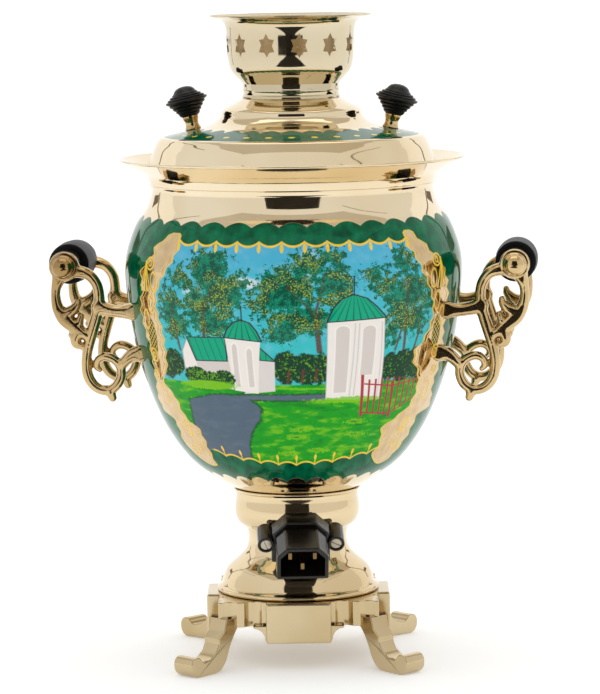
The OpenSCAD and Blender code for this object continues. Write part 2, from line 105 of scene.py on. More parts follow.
pedestal_low, pedestal_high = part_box("pedestal")
axis = Vector(((pedestal_low.x + pedestal_high.x) / 2, (pedestal_low.y + pedestal_high.y) / 2, 0))
joint = {j["name"]: j for j in frame["joints"]}
tap_at = Vector(joint["tap_turn"]["pos_m"]) - axis
clocking = -math.atan2(tap_at.x, tap_at.y)
STRAIGHT = Matrix.Translation(axis) @ Matrix.Scale(MM, 4)
CLOCKED = Matrix.Translation(axis) @ Matrix.Rotation(clocking, 4, "Z") @ Matrix.Scale(MM, 4)
print("axis", [round(v, 4) for v in axis], "clocking", round(math.degrees(clocking), 2))

# %% [markdown]
# ## Camera, floor and light
# A long lens a little above the lid keeps the proportions calm. Polished brass shows only what surrounds it, so the
# room is white all round with one dark gap in front of the samovar. The gap draws the dark stripe down the middle
# of every turned form. Narrow brown cards at the sides draw thin lines beside it, and a grey ceiling and one lamp
# above calm the surfaces that look up.

# %% Camera
LENS = 182.6
PITCH = math.radians(6.34)
ROLL = math.radians(-0.83)
CAMERA_X, CAMERA_BACK, CAMERA_Z = 0.003, 2.03, 0.406
camera_data = bpy.data.cameras.new("camera")
camera_data.lens = LENS
camera_data.clip_end = 20
camera = linked("camera", camera_data)
camera.matrix_world = (
    shift(CAMERA_X, axis.y - CAMERA_BACK, CAMERA_Z)
    @ Matrix.Rotation(math.pi / 2 - PITCH, 4, "X")
    @ Matrix.Rotation(ROLL, 4, "Z")
)
scene.camera = camera

# %% Studio
SWEEP_HALF, SWEEP_BACK, SWEEP_TALL, SWEEP_CURVE = 9, 4, 5, 1.5
CARD_AT, CARD_THICK = 1.3, 0.02


def studio_material(name, color, roughness, glow=0.0):
    made = bpy.data.materials.new(name)
    made.use_nodes = True
    shader = made.node_tree.nodes["Principled BSDF"]
    shader.inputs["Base Color"].default_value = (*color, 1)
    shader.inputs["Roughness"].default_value = roughness
    shader.inputs["Emission Color"].default_value = (*color, 1)
    shader.inputs["Emission Strength"].default_value = glow
    return made


def stage_object(name, mesh, finish, smooth=False):
    data = stored(name, mesh)
    if smooth:
        data.polygons.foreach_set("use_smooth", [True] * len(data.polygons))
    data.materials.append(finish)
    made = linked(name, data)
    made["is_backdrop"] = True
    return made


def studio_sweep():
    """The floor and, far behind, the wall that it curves up into."""
    mesh = bmesh.new()
    bmesh.ops.create_grid(mesh, x_segments=1, y_segments=1, size=SWEEP_HALF)
    for vert in mesh.verts:
        vert.co.y = min(vert.co.y, SWEEP_BACK)
    back = [e for e in mesh.edges if all(v.co.y > SWEEP_BACK - 1 for v in e.verts)]
    lifted = bmesh.ops.extrude_edge_only(mesh, edges=back)["geom"]
    raised = [g for g in lifted if isinstance(g, bmesh.types.BMVert)]
    bmesh.ops.translate(mesh, vec=(0, 0, SWEEP_TALL), verts=raised)
    bmesh.ops.bevel(mesh, geom=back, offset=SWEEP_CURVE, offset_type="OFFSET", affect="EDGES", segments=12,
                    profile=0.5, material=-1)
    stage_object("studio_sweep", mesh, studio_material("studio_white", (0.9, 0.9, 0.9), 0.9, 0.27), smooth=True)


def mirror_card(name, low, high, degrees=0.0, tone=None):
    """A dark card that only shiny surfaces see, so that it takes no light and stays out of every view."""
    mesh = bmesh.new()
    bmesh.ops.create_cube(mesh, size=1)
    size = Vector(high) - Vector(low)
    bmesh.ops.scale(mesh, vec=size, verts=mesh.verts)
    bmesh.ops.translate(mesh, vec=(Vector(low) + Vector(high)) / 2, verts=mesh.verts)
    bmesh.ops.rotate(mesh, cent=axis, matrix=rotation(degrees).to_3x3(), verts=mesh.verts)
    card = stage_object(name, mesh, tone or card_black)
    for ray in ("camera", "diffuse", "shadow", "transmission"):
        setattr(card, f"visible_{ray}", False)


def panel_light(name, place, target, size, watts):
    data = bpy.data.lights.new(name, "AREA")
    data.shape = "RECTANGLE"
    data.size, data.size_y = size
    data.energy = watts
    lamp = linked(name, data)
    lamp.location = place
    lamp.rotation_euler = (Vector(target) - Vector(place)).to_track_quat("-Z", "Y").to_euler()
    lamp.visible_camera = False


studio_sweep()
card_black = studio_material("card_black", (0.012, 0.009, 0.007), 0.9)
card_brown = studio_material("card_brown", (0.2, 0.15, 0.11), 0.9)
card_grey = studio_material("card_grey", (0.56, 0.52, 0.46), 0.9)
mirror_card("dark_gap", (-1.0, -2.5, 0.0), (1.0, -2.48, 1.92))
mirror_card("dark_ground", (-0.34, -2.48, 0.001), (0.34, -0.62, 0.004))
mirror_card("dim_ceiling", (-2.2, -2.2, 2.6), (2.2, 2.2, 2.62), tone=card_grey)
for word, turn in (("left", 1), ("right", -1)):
    for card, low, high, degrees in (
            ("frame", (-0.022, 0.1), (0.022, 1.3), 45), ("frame_high", (-0.02, 1.28), (1.5, 1.3), 90),
            ("dark_low", (-0.13, 0.3), (0.13, 0.44), 38)):
        mirror_card(f"{card}_{word}", (low[0], CARD_AT, low[1]), (high[0], CARD_AT + CARD_THICK, high[1]),
                    turn * degrees, card_brown)
panel_light("top_panel", (0, 0.1, 1.7), (0, axis.y, 0.2), (1.4, 1.0), 4)
world = bpy.data.worlds.new("studio")
world.use_nodes = True
world.node_tree.nodes["Background"].inputs["Color"].default_value = (1, 0.995, 0.985, 1)
world.node_tree.nodes["Background"].inputs["Strength"].default_value = 0.9
scene.world = world
scene.view_settings.view_transform = "Standard"

# %% [markdown]
# ## Arithmetic that runs on a surface
# A pattern painted by hand is easiest to describe as sums: this far round, that high, inside this outline. Shader
# nodes can do such sums at every point of a surface. The small class below lets them be written as ordinary
# arithmetic, and each line of it becomes nodes.

# %% Sums as nodes
class Sum:
    """A number carried by a node link."""

    def __init__(self, tree, socket):
        self.tree, self.socket = tree, socket

    def run(self, operation, *others, clamp=False):
        node = self.tree.nodes.new("ShaderNodeMath")
        node.operation = operation
        node.use_clamp = clamp
        for place, value in zip(node.inputs, (self, *others)):
            feed(self.tree, value, place)
        return Sum(self.tree, node.outputs[0])

    def __add__(self, other): return self.run("ADD", other)
    def __sub__(self, other): return self.run("SUBTRACT", other)
    def __mul__(self, other): return self.run("MULTIPLY", other)
    def __truediv__(self, other): return self.run("DIVIDE", other)
    def __rsub__(self, other): return (self * -1.0).run("ADD", other)
    def __neg__(self): return self * -1.0
    def least(self, other): return self.run("MINIMUM", other)
    def most(self, other): return self.run("MAXIMUM", other)
    def size(self): return self.run("ABSOLUTE")
    def every(self, step): return self.run("WRAP", step / 2, -step / 2)
    def clip(self): return self.run("ADD", 0.0, clamp=True)
    def inside(self, soft=0.35):
        """One where the number is below zero, with a soft step of this width."""
        return self.run("MULTIPLY_ADD", -1 / soft, 0.5, clamp=True)


def feed(tree, value, place):
    if isinstance(value, Sum):
        tree.links.new(value.socket, place)
    else:
        place.default_value = value


def mixed(tree, mask, below, above):
    """The colour above laid over the colour below where the mask is one."""
    node = tree.nodes.new("ShaderNodeMix")
    node.data_type = "RGBA"
    feed(tree, mask, node.inputs[0])
    for value, place in ((below, node.inputs[6]), (above, node.inputs[7])):
        if isinstance(value, tuple):
            place.default_value = (*value, 1)
        else:
            tree.links.new(value, place)
    return node.outputs[2]


def vectors(tree, operation, *values):
    """The outputs of a vector sum whose inputs are links or plain vectors."""
    node = tree.nodes.new("ShaderNodeVectorMath")
    node.operation = operation
    for value, place in zip(values, node.inputs):
        if isinstance(value, bpy.types.NodeSocket):
            tree.links.new(value, place)
        else:
            place.default_value = value
    return node.outputs


def pair(tree, across, up):
    """Two numbers as a vector, with a one behind them that carries the offset of a line."""
    node = tree.nodes.new("ShaderNodeCombineXYZ")
    for value, place in zip((across, up, 1.0), node.inputs):
        feed(tree, value, place)
    return node.outputs[0]


def noise(tree, where, scale, detail=2.0, stretch=None):
    if stretch is not None:
        where = vectors(tree, "MULTIPLY", where, stretch)[0]
    node = tree.nodes.new("ShaderNodeTexNoise")
    node.inputs["Scale"].default_value = scale
    node.inputs["Detail"].default_value = detail
    tree.links.new(where, node.inputs["Vector"])
    return Sum(tree, node.outputs["Fac"])


def object_place(tree):
    return tree.nodes.new("ShaderNodeTexCoord").outputs["Object"]


def rgb(red, green, blue):
    """A paint tone, given on a scale of 0 to 255, as the shader's linear colour."""
    return tuple((c / 255 / 12.92) if c < 11 else ((c / 255 + 0.055) / 1.055) ** 2.4 for c in (red, green, blue))

# %% [markdown]
# ## Metal that has been handled
# Polished brass is never one tone. Buffing leaves faint rings and scratches, fingers leave dull patches, and a
# little brown oxide stays where the cloth doesn't reach. One node group makes those three patterns, and every metal
# on the samovar takes it with its own strengths.

# %% Handling group
def handling_group():
    group = bpy.data.node_groups.new("handling", "ShaderNodeTree")
    face = group.interface
    face.new_socket(name="Place", in_out="INPUT", socket_type="NodeSocketVector")
    for name, value in (("Clean", 0.1), ("Dulled", 0.2), ("Grain", 1200.0), ("Relief", 0.5)):
        face.new_socket(name=name, in_out="INPUT", socket_type="NodeSocketFloat").default_value = value
    for name in ("Roughness", "Tarnish", "Height"):
        face.new_socket(name=name, in_out="OUTPUT", socket_type="NodeSocketFloat")
    start = group.nodes.new("NodeGroupInput").outputs
    end = group.nodes.new("NodeGroupOutput").inputs
    smears = noise(group, start["Place"], 38.0, 4.0)
    patches = noise(group, start["Place"], 11.0, 3.0)
    brushed = noise(group, start["Place"], 620.0, 2.0, (1, 1, 5))
    fine = group.nodes.new("ShaderNodeTexNoise")
    group.links.new(start["Place"], fine.inputs["Vector"])
    group.links.new(start["Grain"], fine.inputs["Scale"])
    dull = ((smears - 0.42) * 2.4).clip() * 0.6 + brushed * 0.25
    clean, dulled = Sum(group, start["Clean"]), Sum(group, start["Dulled"])
    feed(group, clean + (dulled - clean) * dull, end["Roughness"])
    feed(group, ((patches - 0.4) * 2.6).clip(), end["Tarnish"])
    relief = Sum(group, start["Relief"])
    feed(group, relief * (Sum(group, fine.outputs["Fac"]) * 0.6 + brushed * 0.4), end["Height"])
    return group


def handled(tree, where, clean, dulled, grain=1200.0, relief=0.5):
    node = tree.nodes.new("ShaderNodeGroup")
    node.node_tree = HANDLING
    tree.links.new(where, node.inputs["Place"])
    for name, value in (("Clean", clean), ("Dulled", dulled), ("Grain", grain), ("Relief", relief)):
        node.inputs[name].default_value = value
    return node.outputs


def bumped(tree, height, distance, shader):
    bump = tree.nodes.new("ShaderNodeBump")
    bump.inputs["Distance"].default_value = distance
    tree.links.new(height, bump.inputs["Height"])
    tree.links.new(bump.outputs["Normal"], shader.inputs["Normal"])


HANDLING = handling_group()

# %% Plain finishes
def new_finish(name):
    made = bpy.data.materials.new(name)
    made.use_nodes = True
    return made, made.node_tree, made.node_tree.nodes["Principled BSDF"]


def plain(name, tone, other, clean, dulled, grain, relief, microns, **own):
    """A finish with a slow change of tone, handling marks and a fine skin; own gives the shader's other values."""
    made, tree, shader = new_finish(name)
    out = handled(tree, object_place(tree), clean, dulled, grain, relief)
    tree.links.new(mixed(tree, Sum(tree, out["Tarnish"]), rgb(*tone), rgb(*other)), shader.inputs["Base Color"])
    tree.links.new(out["Roughness"], shader.inputs["Roughness"])
    for socket, value in own.items():
        shader.inputs[socket.replace("_", " ")].default_value = value
    bumped(tree, out["Height"], microns * 1e-6, shader)
    return made


POLISHED = ((237, 222, 192), (222, 200, 160), 0.035, 0.1, 1200, 0.25)
BRASS_BRIGHT, BRASS_BROWN = rgb(*POLISHED[0]), rgb(*POLISHED[1])
METALS = {  # tone, browner tone, roughness when clean and when dulled, grain, relief, depth of the skin in microns
    "polished_brass": (*POLISHED, 20),
    "cast_brass": ((208, 182, 134), (150, 118, 70), 0.08, 0.2, 520, 0.8, 50),
    "filed_brass": ((208, 190, 154), (188, 164, 120), 0.12, 0.25, 700, 0.5, 40),
    "pedestal_brass": ((226, 206, 168), (204, 176, 128), 0.04, 0.12, 900, 0.4, 20),
    "crown_brass": ((216, 204, 176), (198, 182, 146), 0.04, 0.12, 900, 0.4, 20),
    "inner_brass": ((212, 194, 160), (186, 164, 126), 0.24, 0.36, 900, 0.6, 40),
    # painted shade: a darker brass for the pins that sit deep in the inlet's well
    "shaded_pin_brass": ((150, 122, 82), (120, 94, 58), 0.24, 0.42, 900, 0.8, 40),
    "tinned_brass": ((206, 205, 200), (180, 178, 170), 0.22, 0.4, 1200, 0.5, 20),
    "zinc_plated_steel": ((196, 186, 168), (164, 150, 128), 0.24, 0.4, 1200, 0.5, 20),
    "element_steel": ((150, 146, 140), (120, 108, 98), 0.3, 0.5, 1200, 0.5, 20),
}
DULL_SOLIDS = {  # tone, other tone, roughness when clean and when dulled, gloss
    "red_rubber": ((140, 58, 42), (120, 46, 34), 0.6, 0.8, 0.5),
    "terminal_ceramic": ((232, 228, 216), (214, 206, 190), 0.4, 0.6, 0.5),
    "black_plastic": ((13, 11, 8), (22, 19, 14), 0.12, 0.26, 0.45),
    "black_phenolic": ((10, 10, 12), (20, 20, 23), 0.38, 0.52, 0.12),
    "black_wood": ((12, 11, 12), (28, 26, 28), 0.34, 0.56, 0.35),
    "brown_lead": ((96, 58, 32), (82, 48, 26), 0.4, 0.6, 0.5),
    "earth_lead": ((120, 160, 30), (210, 190, 30), 0.4, 0.6, 0.5),
}
finish = {name: plain(name, *row, Metallic=1) for name, row in METALS.items()}
for name, (*row, gloss) in DULL_SOLIDS.items():
    finish[name] = plain(name, *row, 900, 0.8, 40, Specular_IOR_Level=gloss)
print("finishes", len(finish))

# %% [markdown]
# ## Round and up
# The painter works round the belly and up it. The same two numbers, an angle from the front in degrees and a height
# in millimetres, are worked out here from an object's own coordinates. The picture is painted twice, on this side
# and on the tap side, so the angle repeats every half turn.

# %% Belly coordinates
def belly(tree):
    """(angle, height, vector of both) for the painted pieces."""
    centred = vectors(tree, "SUBTRACT", object_place(tree), axis)[0]
    parts = tree.nodes.new("ShaderNodeSeparateXYZ")
    tree.links.new(centred, parts.inputs[0])
    x, y, z = (Sum(tree, parts.outputs[k]) for k in range(3))
    angle = (x.run("ARCTAN2", -y) * math.degrees(1)).every(180.0)
    height = z * 1000.0
    return angle, height, pair(tree, angle, height)


class Picture:
    """A growing picture: each call lays one more shape over what is there."""

    def __init__(self, tree, where, ground):
        self.tree, self.where, self.color = tree, where, ground

    def lay(self, mask, tone):
        self.color = mixed(self.tree, mask, self.color, tone)
        return mask

    def half_plane(self, normal, offset):
        return Sum(self.tree, vectors(self.tree, "DOT_PRODUCT", self.where, (normal.x, normal.y, -offset))["Value"])

    def cornered(self, *corners):
        """Distance outside a convex shape, its corners given anticlockwise or clockwise, in degrees and mm."""
        points = [Vector(c) for c in corners]
        middle = sum(points, Vector((0, 0))) / len(points)
        far = None
        for a, b in zip(points, points[1:] + points[:1]):
            along = (b - a).normalized()
            out = Vector((along.y, -along.x))
            if out.dot(a - middle) < 0:
                out = -out
            edge = self.half_plane(out, out.dot(a))
            far = edge if far is None else far.most(edge)
        return far

    def round(self, centre, radii):
        """Distance outside an ellipse, roughly, in the same units as its smaller radius."""
        (a, z), (wide, tall) = centre, radii
        stretch, start = (1 / wide, 1 / tall, 0), (-a / wide, -z / tall, 0)
        scaled = vectors(self.tree, "MULTIPLY_ADD", self.where, stretch, start)[0]
        return (Sum(self.tree, vectors(self.tree, "LENGTH", scaled)["Value"]) - 1.0) * min(radii)

    def stroke(self, a, b, width):
        """Distance outside a straight brush stroke."""
        a, b = Vector(a), Vector(b)
        along = (b - a).normalized()
        side = Vector((along.y, -along.x))
        across = self.half_plane(side, side.dot(a)).size() - width / 2
        middle = (a + b) / 2
        ends = self.half_plane(along, along.dot(middle)).size() - (b - a).length / 2
        return across.most(ends)

    def clump(self, *rounds):
        """Distance outside several ellipses together, each given as (angle, height, radius, radius)."""
        near = None
        for a, z, wide, tall in rounds:
            one = self.round((a, z), (wide, tall))
            near = one if near is None else near.least(one)
        return near


def curve_of(tree, value, points, low, high):
    """A number that follows a drawn curve of another: points are (value, result), low and high its range."""
    node = tree.nodes.new("ShaderNodeFloatCurve")
    first, last = points[0][0], points[-1][0]
    feed(tree, (value - first) / (last - first), node.inputs["Value"])
    line = node.mapping.curves[0]
    steps = [((v - first) / (last - first), (r - low) / (high - low)) for v, r in points]
    line.points[0].location = steps[0]
    line.points[1].location = steps[-1]
    for step in steps[1:-1]:
        line.points.new(*step)
    node.mapping.update()
    return Sum(tree, node.outputs["Value"]) * (high - low) + low

# %% [markdown]
# ## The landscape
# A white church with a green roof, a bell tower, a road, hedges, old trees against a blue sky, and a red fence.
# The painter lays the far things first and the near things over them, and so does this cell.

# %% Landscape
SKY_TOP, SKY_LOW = rgb(78, 172, 208), rgb(54, 186, 190)
LEAF_DARK, LEAF_DEEP, LEAF_TEAL = rgb(14, 104, 72), rgb(6, 56, 40), rgb(16, 146, 110)
LEAF_OLIVE, LEAF_LIME = rgb(122, 142, 40), rgb(186, 188, 48)
WALL_LIGHT, WALL_SHADE = rgb(232, 226, 219), rgb(208, 200, 194)
ROOF, ROOF_RIB = rgb(0, 162, 122), rgb(0, 84, 70)
GRASS, GRASS_LIGHT, GRASS_DARK = rgb(14, 152, 22), rgb(120, 192, 16), rgb(4, 84, 26)
ROAD, ROAD_LIGHT = rgb(82, 100, 116), rgb(102, 118, 130)
HEDGE, HEDGE_LIGHT = rgb(4, 56, 34), rgb(104, 168, 24)
TRUNK, FENCE, OUTLINE = rgb(92, 50, 36), rgb(168, 52, 66), rgb(44, 42, 54)
GOLD = rgb(244, 200, 44)


def trees(view, dab, cluster, hue):
    """Crowns of leaves, dabbed thinly at their edges: dark first, then teal or olive, then a few lime touches."""
    tree = view.tree
    crowns = (
        ((-29, 234, 8, 12), (-24.5, 221, 9, 12), (-33, 214, 7, 12), (-28, 204, 9, 8), (-20, 226, 5, 8)),
        ((-41, 229, 5.5, 7), (-46, 213, 5.5, 10), (-44, 202, 7, 8)),
        ((-3, 222, 11, 13), (4, 235, 7, 8), (13, 224, 7, 13), (16, 212, 4, 8), (2, 206, 12, 9), (-10, 217, 5, 9),
         (-4, 199, 6, 6), (12, 241, 5, 5)),
        ((40, 236, 4.4, 10), (45, 220, 7, 12), (38, 214, 6.5, 12), (44, 203, 7.5, 9), (28, 229, 5, 6),
         (33, 222, 5.5, 7), (35, 199, 4, 8), (50, 212, 4, 9)),
    )
    light = mixed(tree, hue, LEAF_TEAL, LEAF_OLIVE)
    for crown in crowns:
        shape = view.clump(*crown)
        ragged = shape + (dab - 0.5) * 9.0 + (cluster - 0.5) * 15.0
        leaves = view.lay(ragged.inside(1.2) * 0.94, LEAF_DARK)
        view.lay(((dab * 0.7 + cluster * 0.3 - 0.485) * 12.0).clip() * leaves * 0.85, light)
        shaded = shape * -0.16 + (0.5 - cluster) * 5.0 + (0.5 - dab) * 4.0 - 0.35
        view.lay(shaded.clip() * leaves * 0.7, LEAF_DEEP)
        view.lay(((dab - 0.56) * 12.0).clip() * hue * leaves * 0.9, LEAF_LIME)


def trunks(view, strength):
    for low, high, width in (
            ((-43.6, 187), (-45.6, 212), 0.9), ((-32.4, 194), (-31.6, 214), 1.3), ((-31.6, 212), (-27, 226), 0.8),
            ((8.6, 187), (7, 210), 1.9), ((7.4, 208), (-2.4, 225), 1.1), ((7, 209), (10.4, 232), 0.9),
            ((41.2, 185), (41, 226), 1.2), ((46, 185), (48.6, 200), 0.9), ((37.2, 186), (39.6, 200), 0.9)):
        view.lay(view.stroke(low, high, width).inside(0.6) * strength, TRUNK)


def ribbed(view, shape, across, step):
    """A roof with standing seams and a thin dark edge."""
    mask = view.lay(shape.inside(0.3), ROOF)
    view.lay((across.every(step).size() - 0.14).inside(0.24) * mask * 0.8, ROOF_RIB)
    view.lay((shape.size() - 0.28).inside(0.3), OUTLINE)


def domed(view, angle, height, apex, corners, step):
    """A dome whose seams fan out from its top."""
    mask = view.lay(view.cornered(*corners).inside(0.3), ROOF)
    fan = (angle - apex[0]) / (apex[1] + 5.0 - height)
    view.lay((fan.every(step).size() - step * 0.09).inside(step * 0.12) * mask * 0.85, ROOF_RIB)
    view.lay((view.cornered(*corners).size() - 0.3).inside(0.3), OUTLINE)


def arched_window(view, left, right, top, bottom):
    half = (right - left) / 2
    body = view.cornered((left, top - 3), (right, top - 3), (right, bottom), (left, bottom))
    shape = body.least(view.round(((left + right) / 2, top - 3), (half, 3)))
    view.lay(shape.inside(0.4), WALL_SHADE)
    view.lay((shape.size() - 0.25).inside(0.35) * 0.8, rgb(242, 238, 232))


def church(view, angle, height):
    gable = view.cornered((-42.7, 187), (-39.8, 194.4), (-36.6, 183), (-36.6, 172), (-42.9, 172))
    view.lay(gable.inside(), WALL_LIGHT)
    view.lay((gable.size() - 0.2).inside() * 0.7, rgb(150, 140, 140))
    view.lay(view.cornered((-36.9, 184), (-23, 184), (-23, 166), (-36.9, 168)).inside(), WALL_SHADE)
    ribbed(view, view.cornered((-39.9, 195.2), (-24.2, 195.8), (-24.2, 182.4), (-36.9, 182)),
           angle + height * 0.2, 2.7)
    annex = view.cornered((-12.4, 184), (-7, 182.4), (-7.3, 165.4), (-19, 163.7))
    view.lay(annex.inside(), rgb(214, 207, 203))
    ribbed(view, view.cornered((-12.4, 191), (-6.8, 182.6), (-12.4, 183.4)), angle, 2.0)
    walls = view.cornered((-24.3, 196), (-11.7, 194.4), (-13.6, 163.9), (-22.6, 165.6))
    view.lay(walls.inside(), WALL_LIGHT)
    domed(view, angle, height, (-17.9, 206), (
        (-24.6, 195.9), (-23.4, 200.4), (-20.8, 204.6), (-17.9, 206), (-15, 204.4), (-12.8, 199.6), (-11.2, 193.8)),
        0.17)
    view.lay(view.stroke((-17.8, 205), (-17.8, 213.5), 0.45).inside(), OUTLINE)
    arched_window(view, -22.2, -19.9, 193, 168)
    arched_window(view, -17, -14.6, 190.4, 167.5)


def bell_tower(view, angle, height):
    walls = view.cornered((11.1, 204.4), (31.9, 205.8), (33.5, 158.4), (11.3, 160))
    view.lay(walls.inside(), WALL_LIGHT)
    view.lay((walls.size() - 0.16).inside() * 0.5, rgb(150, 146, 150))
    domed(view, angle, height, (20.1, 219.4), (
        (10.9, 204.3), (13, 212), (16, 217.2), (20.1, 219.4), (24.8, 216.9), (28.8, 211.6), (32.6, 205.4)), 0.145)
    view.lay(view.stroke((20.1, 218.6), (20.2, 230), 0.5).inside(), OUTLINE)
    arched_window(view, 13.9, 19.2, 202, 163.5)
    arched_window(view, 23.6, 28.9, 201.6, 173)
    for low, high in (((20.4, 161), (20.9, 203)), ((22.1, 161), (22.4, 203)), ((32.2, 160), (31, 203))):
        view.lay(view.stroke(low, high, 0.35).inside(0.5) * 0.7, rgb(176, 170, 172))


def hedge(view, dab, fleck, shift, *rounds):
    """A clipped hedge: dark, dabbed with lime where the shift lets the light in."""
    edge = view.clump(*rounds) + (fleck - 0.5) * 3.0
    mask = view.lay(edge.inside(0.7), HEDGE)
    view.lay(((dab * 0.4 + fleck * 0.6 - shift) * 12.0).clip() * mask * 0.9, HEDGE_LIGHT)


def far_hedges(view, dab, fleck):
    hedge(view, dab, fleck, 0.55, (-48, 180, 5, 8), (-52, 177, 4, 7))
    hedge(view, dab, fleck, 0.54, (-3, 179, 5, 9.5), (4, 178, 6, 9), (9, 178, 4, 9))
    hedge(view, dab, fleck, 0.55, (36, 177, 5, 8), (42, 177, 6, 9), (48, 178, 5, 9), (52, 174, 4, 8))
    for a in (-2.6, 2.4, 7.2):
        view.lay(view.stroke((a, 170), (a + 0.6, 178), 0.8).inside(0.6) * 0.8, rgb(112, 54, 46))


def ground(view, height, fleck, streaks):
    meadow = height - 169.0 + (fleck - 0.5) * 0.8
    land = view.lay(meadow.inside(0.5), GRASS)
    view.lay(((streaks - 0.52) * 7.0).clip() * land * 0.75, GRASS_LIGHT)
    view.lay(((0.44 - streaks) * 7.0).clip() * land * 0.5, GRASS_DARK)
    far = view.cornered((-21, 163.2), (11.4, 163.6), (11.4, 159.2), (-21, 160))
    near = view.cornered((-45, 158.6), (-32, 163), (-19, 163), (-13, 155), (-18, 118), (-50, 118))
    bank = view.round((3, 124), (24.4, 33.5))
    road = far.least(near).most(-bank) + (fleck - 0.5) * 0.9
    paved = view.lay(road.inside(0.4), ROAD)
    view.lay(((streaks - 0.5) * 4.0).clip() * paved * 0.5, ROAD_LIGHT)
    view.lay((road.size() - 0.5 + (fleck - 0.5) * 2.6).inside(0.5) * 0.8, GRASS_DARK)
    view.lay((view.stroke((-7, 167), (11, 166.4), 1.0) + (fleck - 0.5) * 1.2).inside(0.5) * 0.8, GRASS_LIGHT)
    for a, z in ((3, 142.6), (0, 138), (25, 146), (26, 138.6), (10, 129.5), (-3, 128)):
        tuft = view.round((a, z), (4.6, 1.5)) + (fleck - 0.5) * 4.0
        view.lay(tuft.inside(0.6) * 0.75, GRASS_LIGHT)
        view.lay((tuft + 1.2).inside(0.6) * 0.7, GRASS_DARK)


def fence(view, angle, height):
    for low, high, width in (
            ((26.6, 148.6), (24.9, 173.4), 1.25), ((40.4, 146.6), (38.2, 168.4), 1.05),
            ((26, 168), (38.4, 165.6), 0.85), ((38, 165.4), (53.6, 168), 0.8),
            ((26.6, 151.2), (40.4, 148.8), 0.85), ((40.4, 149.2), (52, 157), 0.75)):
        view.lay(view.stroke(low, high, width).inside(0.4), FENCE)
    lean = angle + (height - 160.0) * 0.06
    pickets = (lean - 28.6).every(2.7).size() - 0.42
    span = view.cornered((27.2, 172.6), (38, 170.8), (53.8, 171.6), (52, 158.6), (40.4, 147.8), (27.8, 150.6))
    view.lay(pickets.most(span).inside(0.35), FENCE)


def cloud(view, fleck):
    for rounds, strength in ((((-16, 227, 4.6, 2.6), (-14.2, 225.6, 3.4, 1.8), (-18.6, 226, 2.6, 1.8)), 0.85),
                             (((5, 236, 3.4, 10),), 0.35), (((-37, 221, 2.4, 1.8),), 0.6)):
        edge = view.clump(*rounds) + (fleck - 0.5) * 2.4
        view.lay(edge.inside(1.8) * strength, rgb(214, 226, 226))

# %% [markdown]
# ## Frames, garlands and enamel
# Round the picture the brass is left bare as a scrolled frame with a yellow outline, garlands hang along its upper
# and lower edges, and green lacquer with scalloped borders covers the rest. Lacquer and bare brass are both shiny
# metal to the shader, and only the opaque paint is not.

# %% Painted belly
PAINT_DEPTH = 0.00009
FRAME_LOW, FRAME_HIGH = 30, 80
INNER_RIGHT = [
    (118, 42), (122, 40), (133, 41), (139.5, 39.2), (146, 45.4), (157, 53), (169, 52), (183, 47), (190, 51),
    (203, 55), (211, 54.5), (220, 52), (228.6, 48.8), (239.5, 45), (247, 42.2), (254, 44)]
INNER_LEFT = [
    (118, 47), (122, 46), (129, 45.3), (139.6, 45.2), (147.4, 51.4), (158.8, 53.6), (168.4, 58), (174, 54),
    (191, 52), (200, 52.5), (210, 54), (218.6, 53), (228, 49.5), (238, 45), (247, 43), (254, 45)]
OUTER_RIGHT = [
    (112, 46), (117, 54), (131, 60), (145, 61), (149, 71), (154, 69), (163, 65.6), (172, 66.4), (180, 66.6),
    (196, 64), (206, 65), (218, 64), (227, 61.7), (234, 57.6), (240, 54), (249, 48), (254, 44)]
OUTER_LEFT = [
    (112, 50), (117, 54), (122, 61), (127, 64), (134, 62.5), (142, 60.5), (150, 69), (154, 69.5), (166, 65),
    (184, 62), (199, 64), (209, 64.6), (220, 62), (230, 62.4), (237, 56.4), (244, 55), (250, 50), (254, 45)]


def frame_edge(tree, angle, height, right, left):
    """How many degrees from the middle an edge of the frame is, by a curve of its own on each side."""
    on_left = angle.run("LESS_THAN", 0.0)
    return (curve_of(tree, height, right, FRAME_LOW, FRAME_HIGH) * (1.0 - on_left)
            + curve_of(tree, height, left, FRAME_LOW, FRAME_HIGH) * on_left)


def bare_brass(tree):
    """(handling marks, tone) of the brass under a coat."""
    out = handled(tree, object_place(tree), *POLISHED[2:])
    return out, mixed(tree, Sum(tree, out["Tarnish"]), BRASS_BRIGHT, BRASS_BROWN)


def coated(tree, shader, color, metal, roughness, coat, body):
    """Links what a coat of paint or enamel changes; body is its thickness."""
    tree.links.new(color, shader.inputs["Base Color"])
    feed(tree, metal, shader.inputs["Metallic"])
    feed(tree, roughness, shader.inputs["Roughness"])
    feed(tree, coat, shader.inputs["Coat Weight"])
    bumped(tree, body.socket, PAINT_DEPTH, shader)


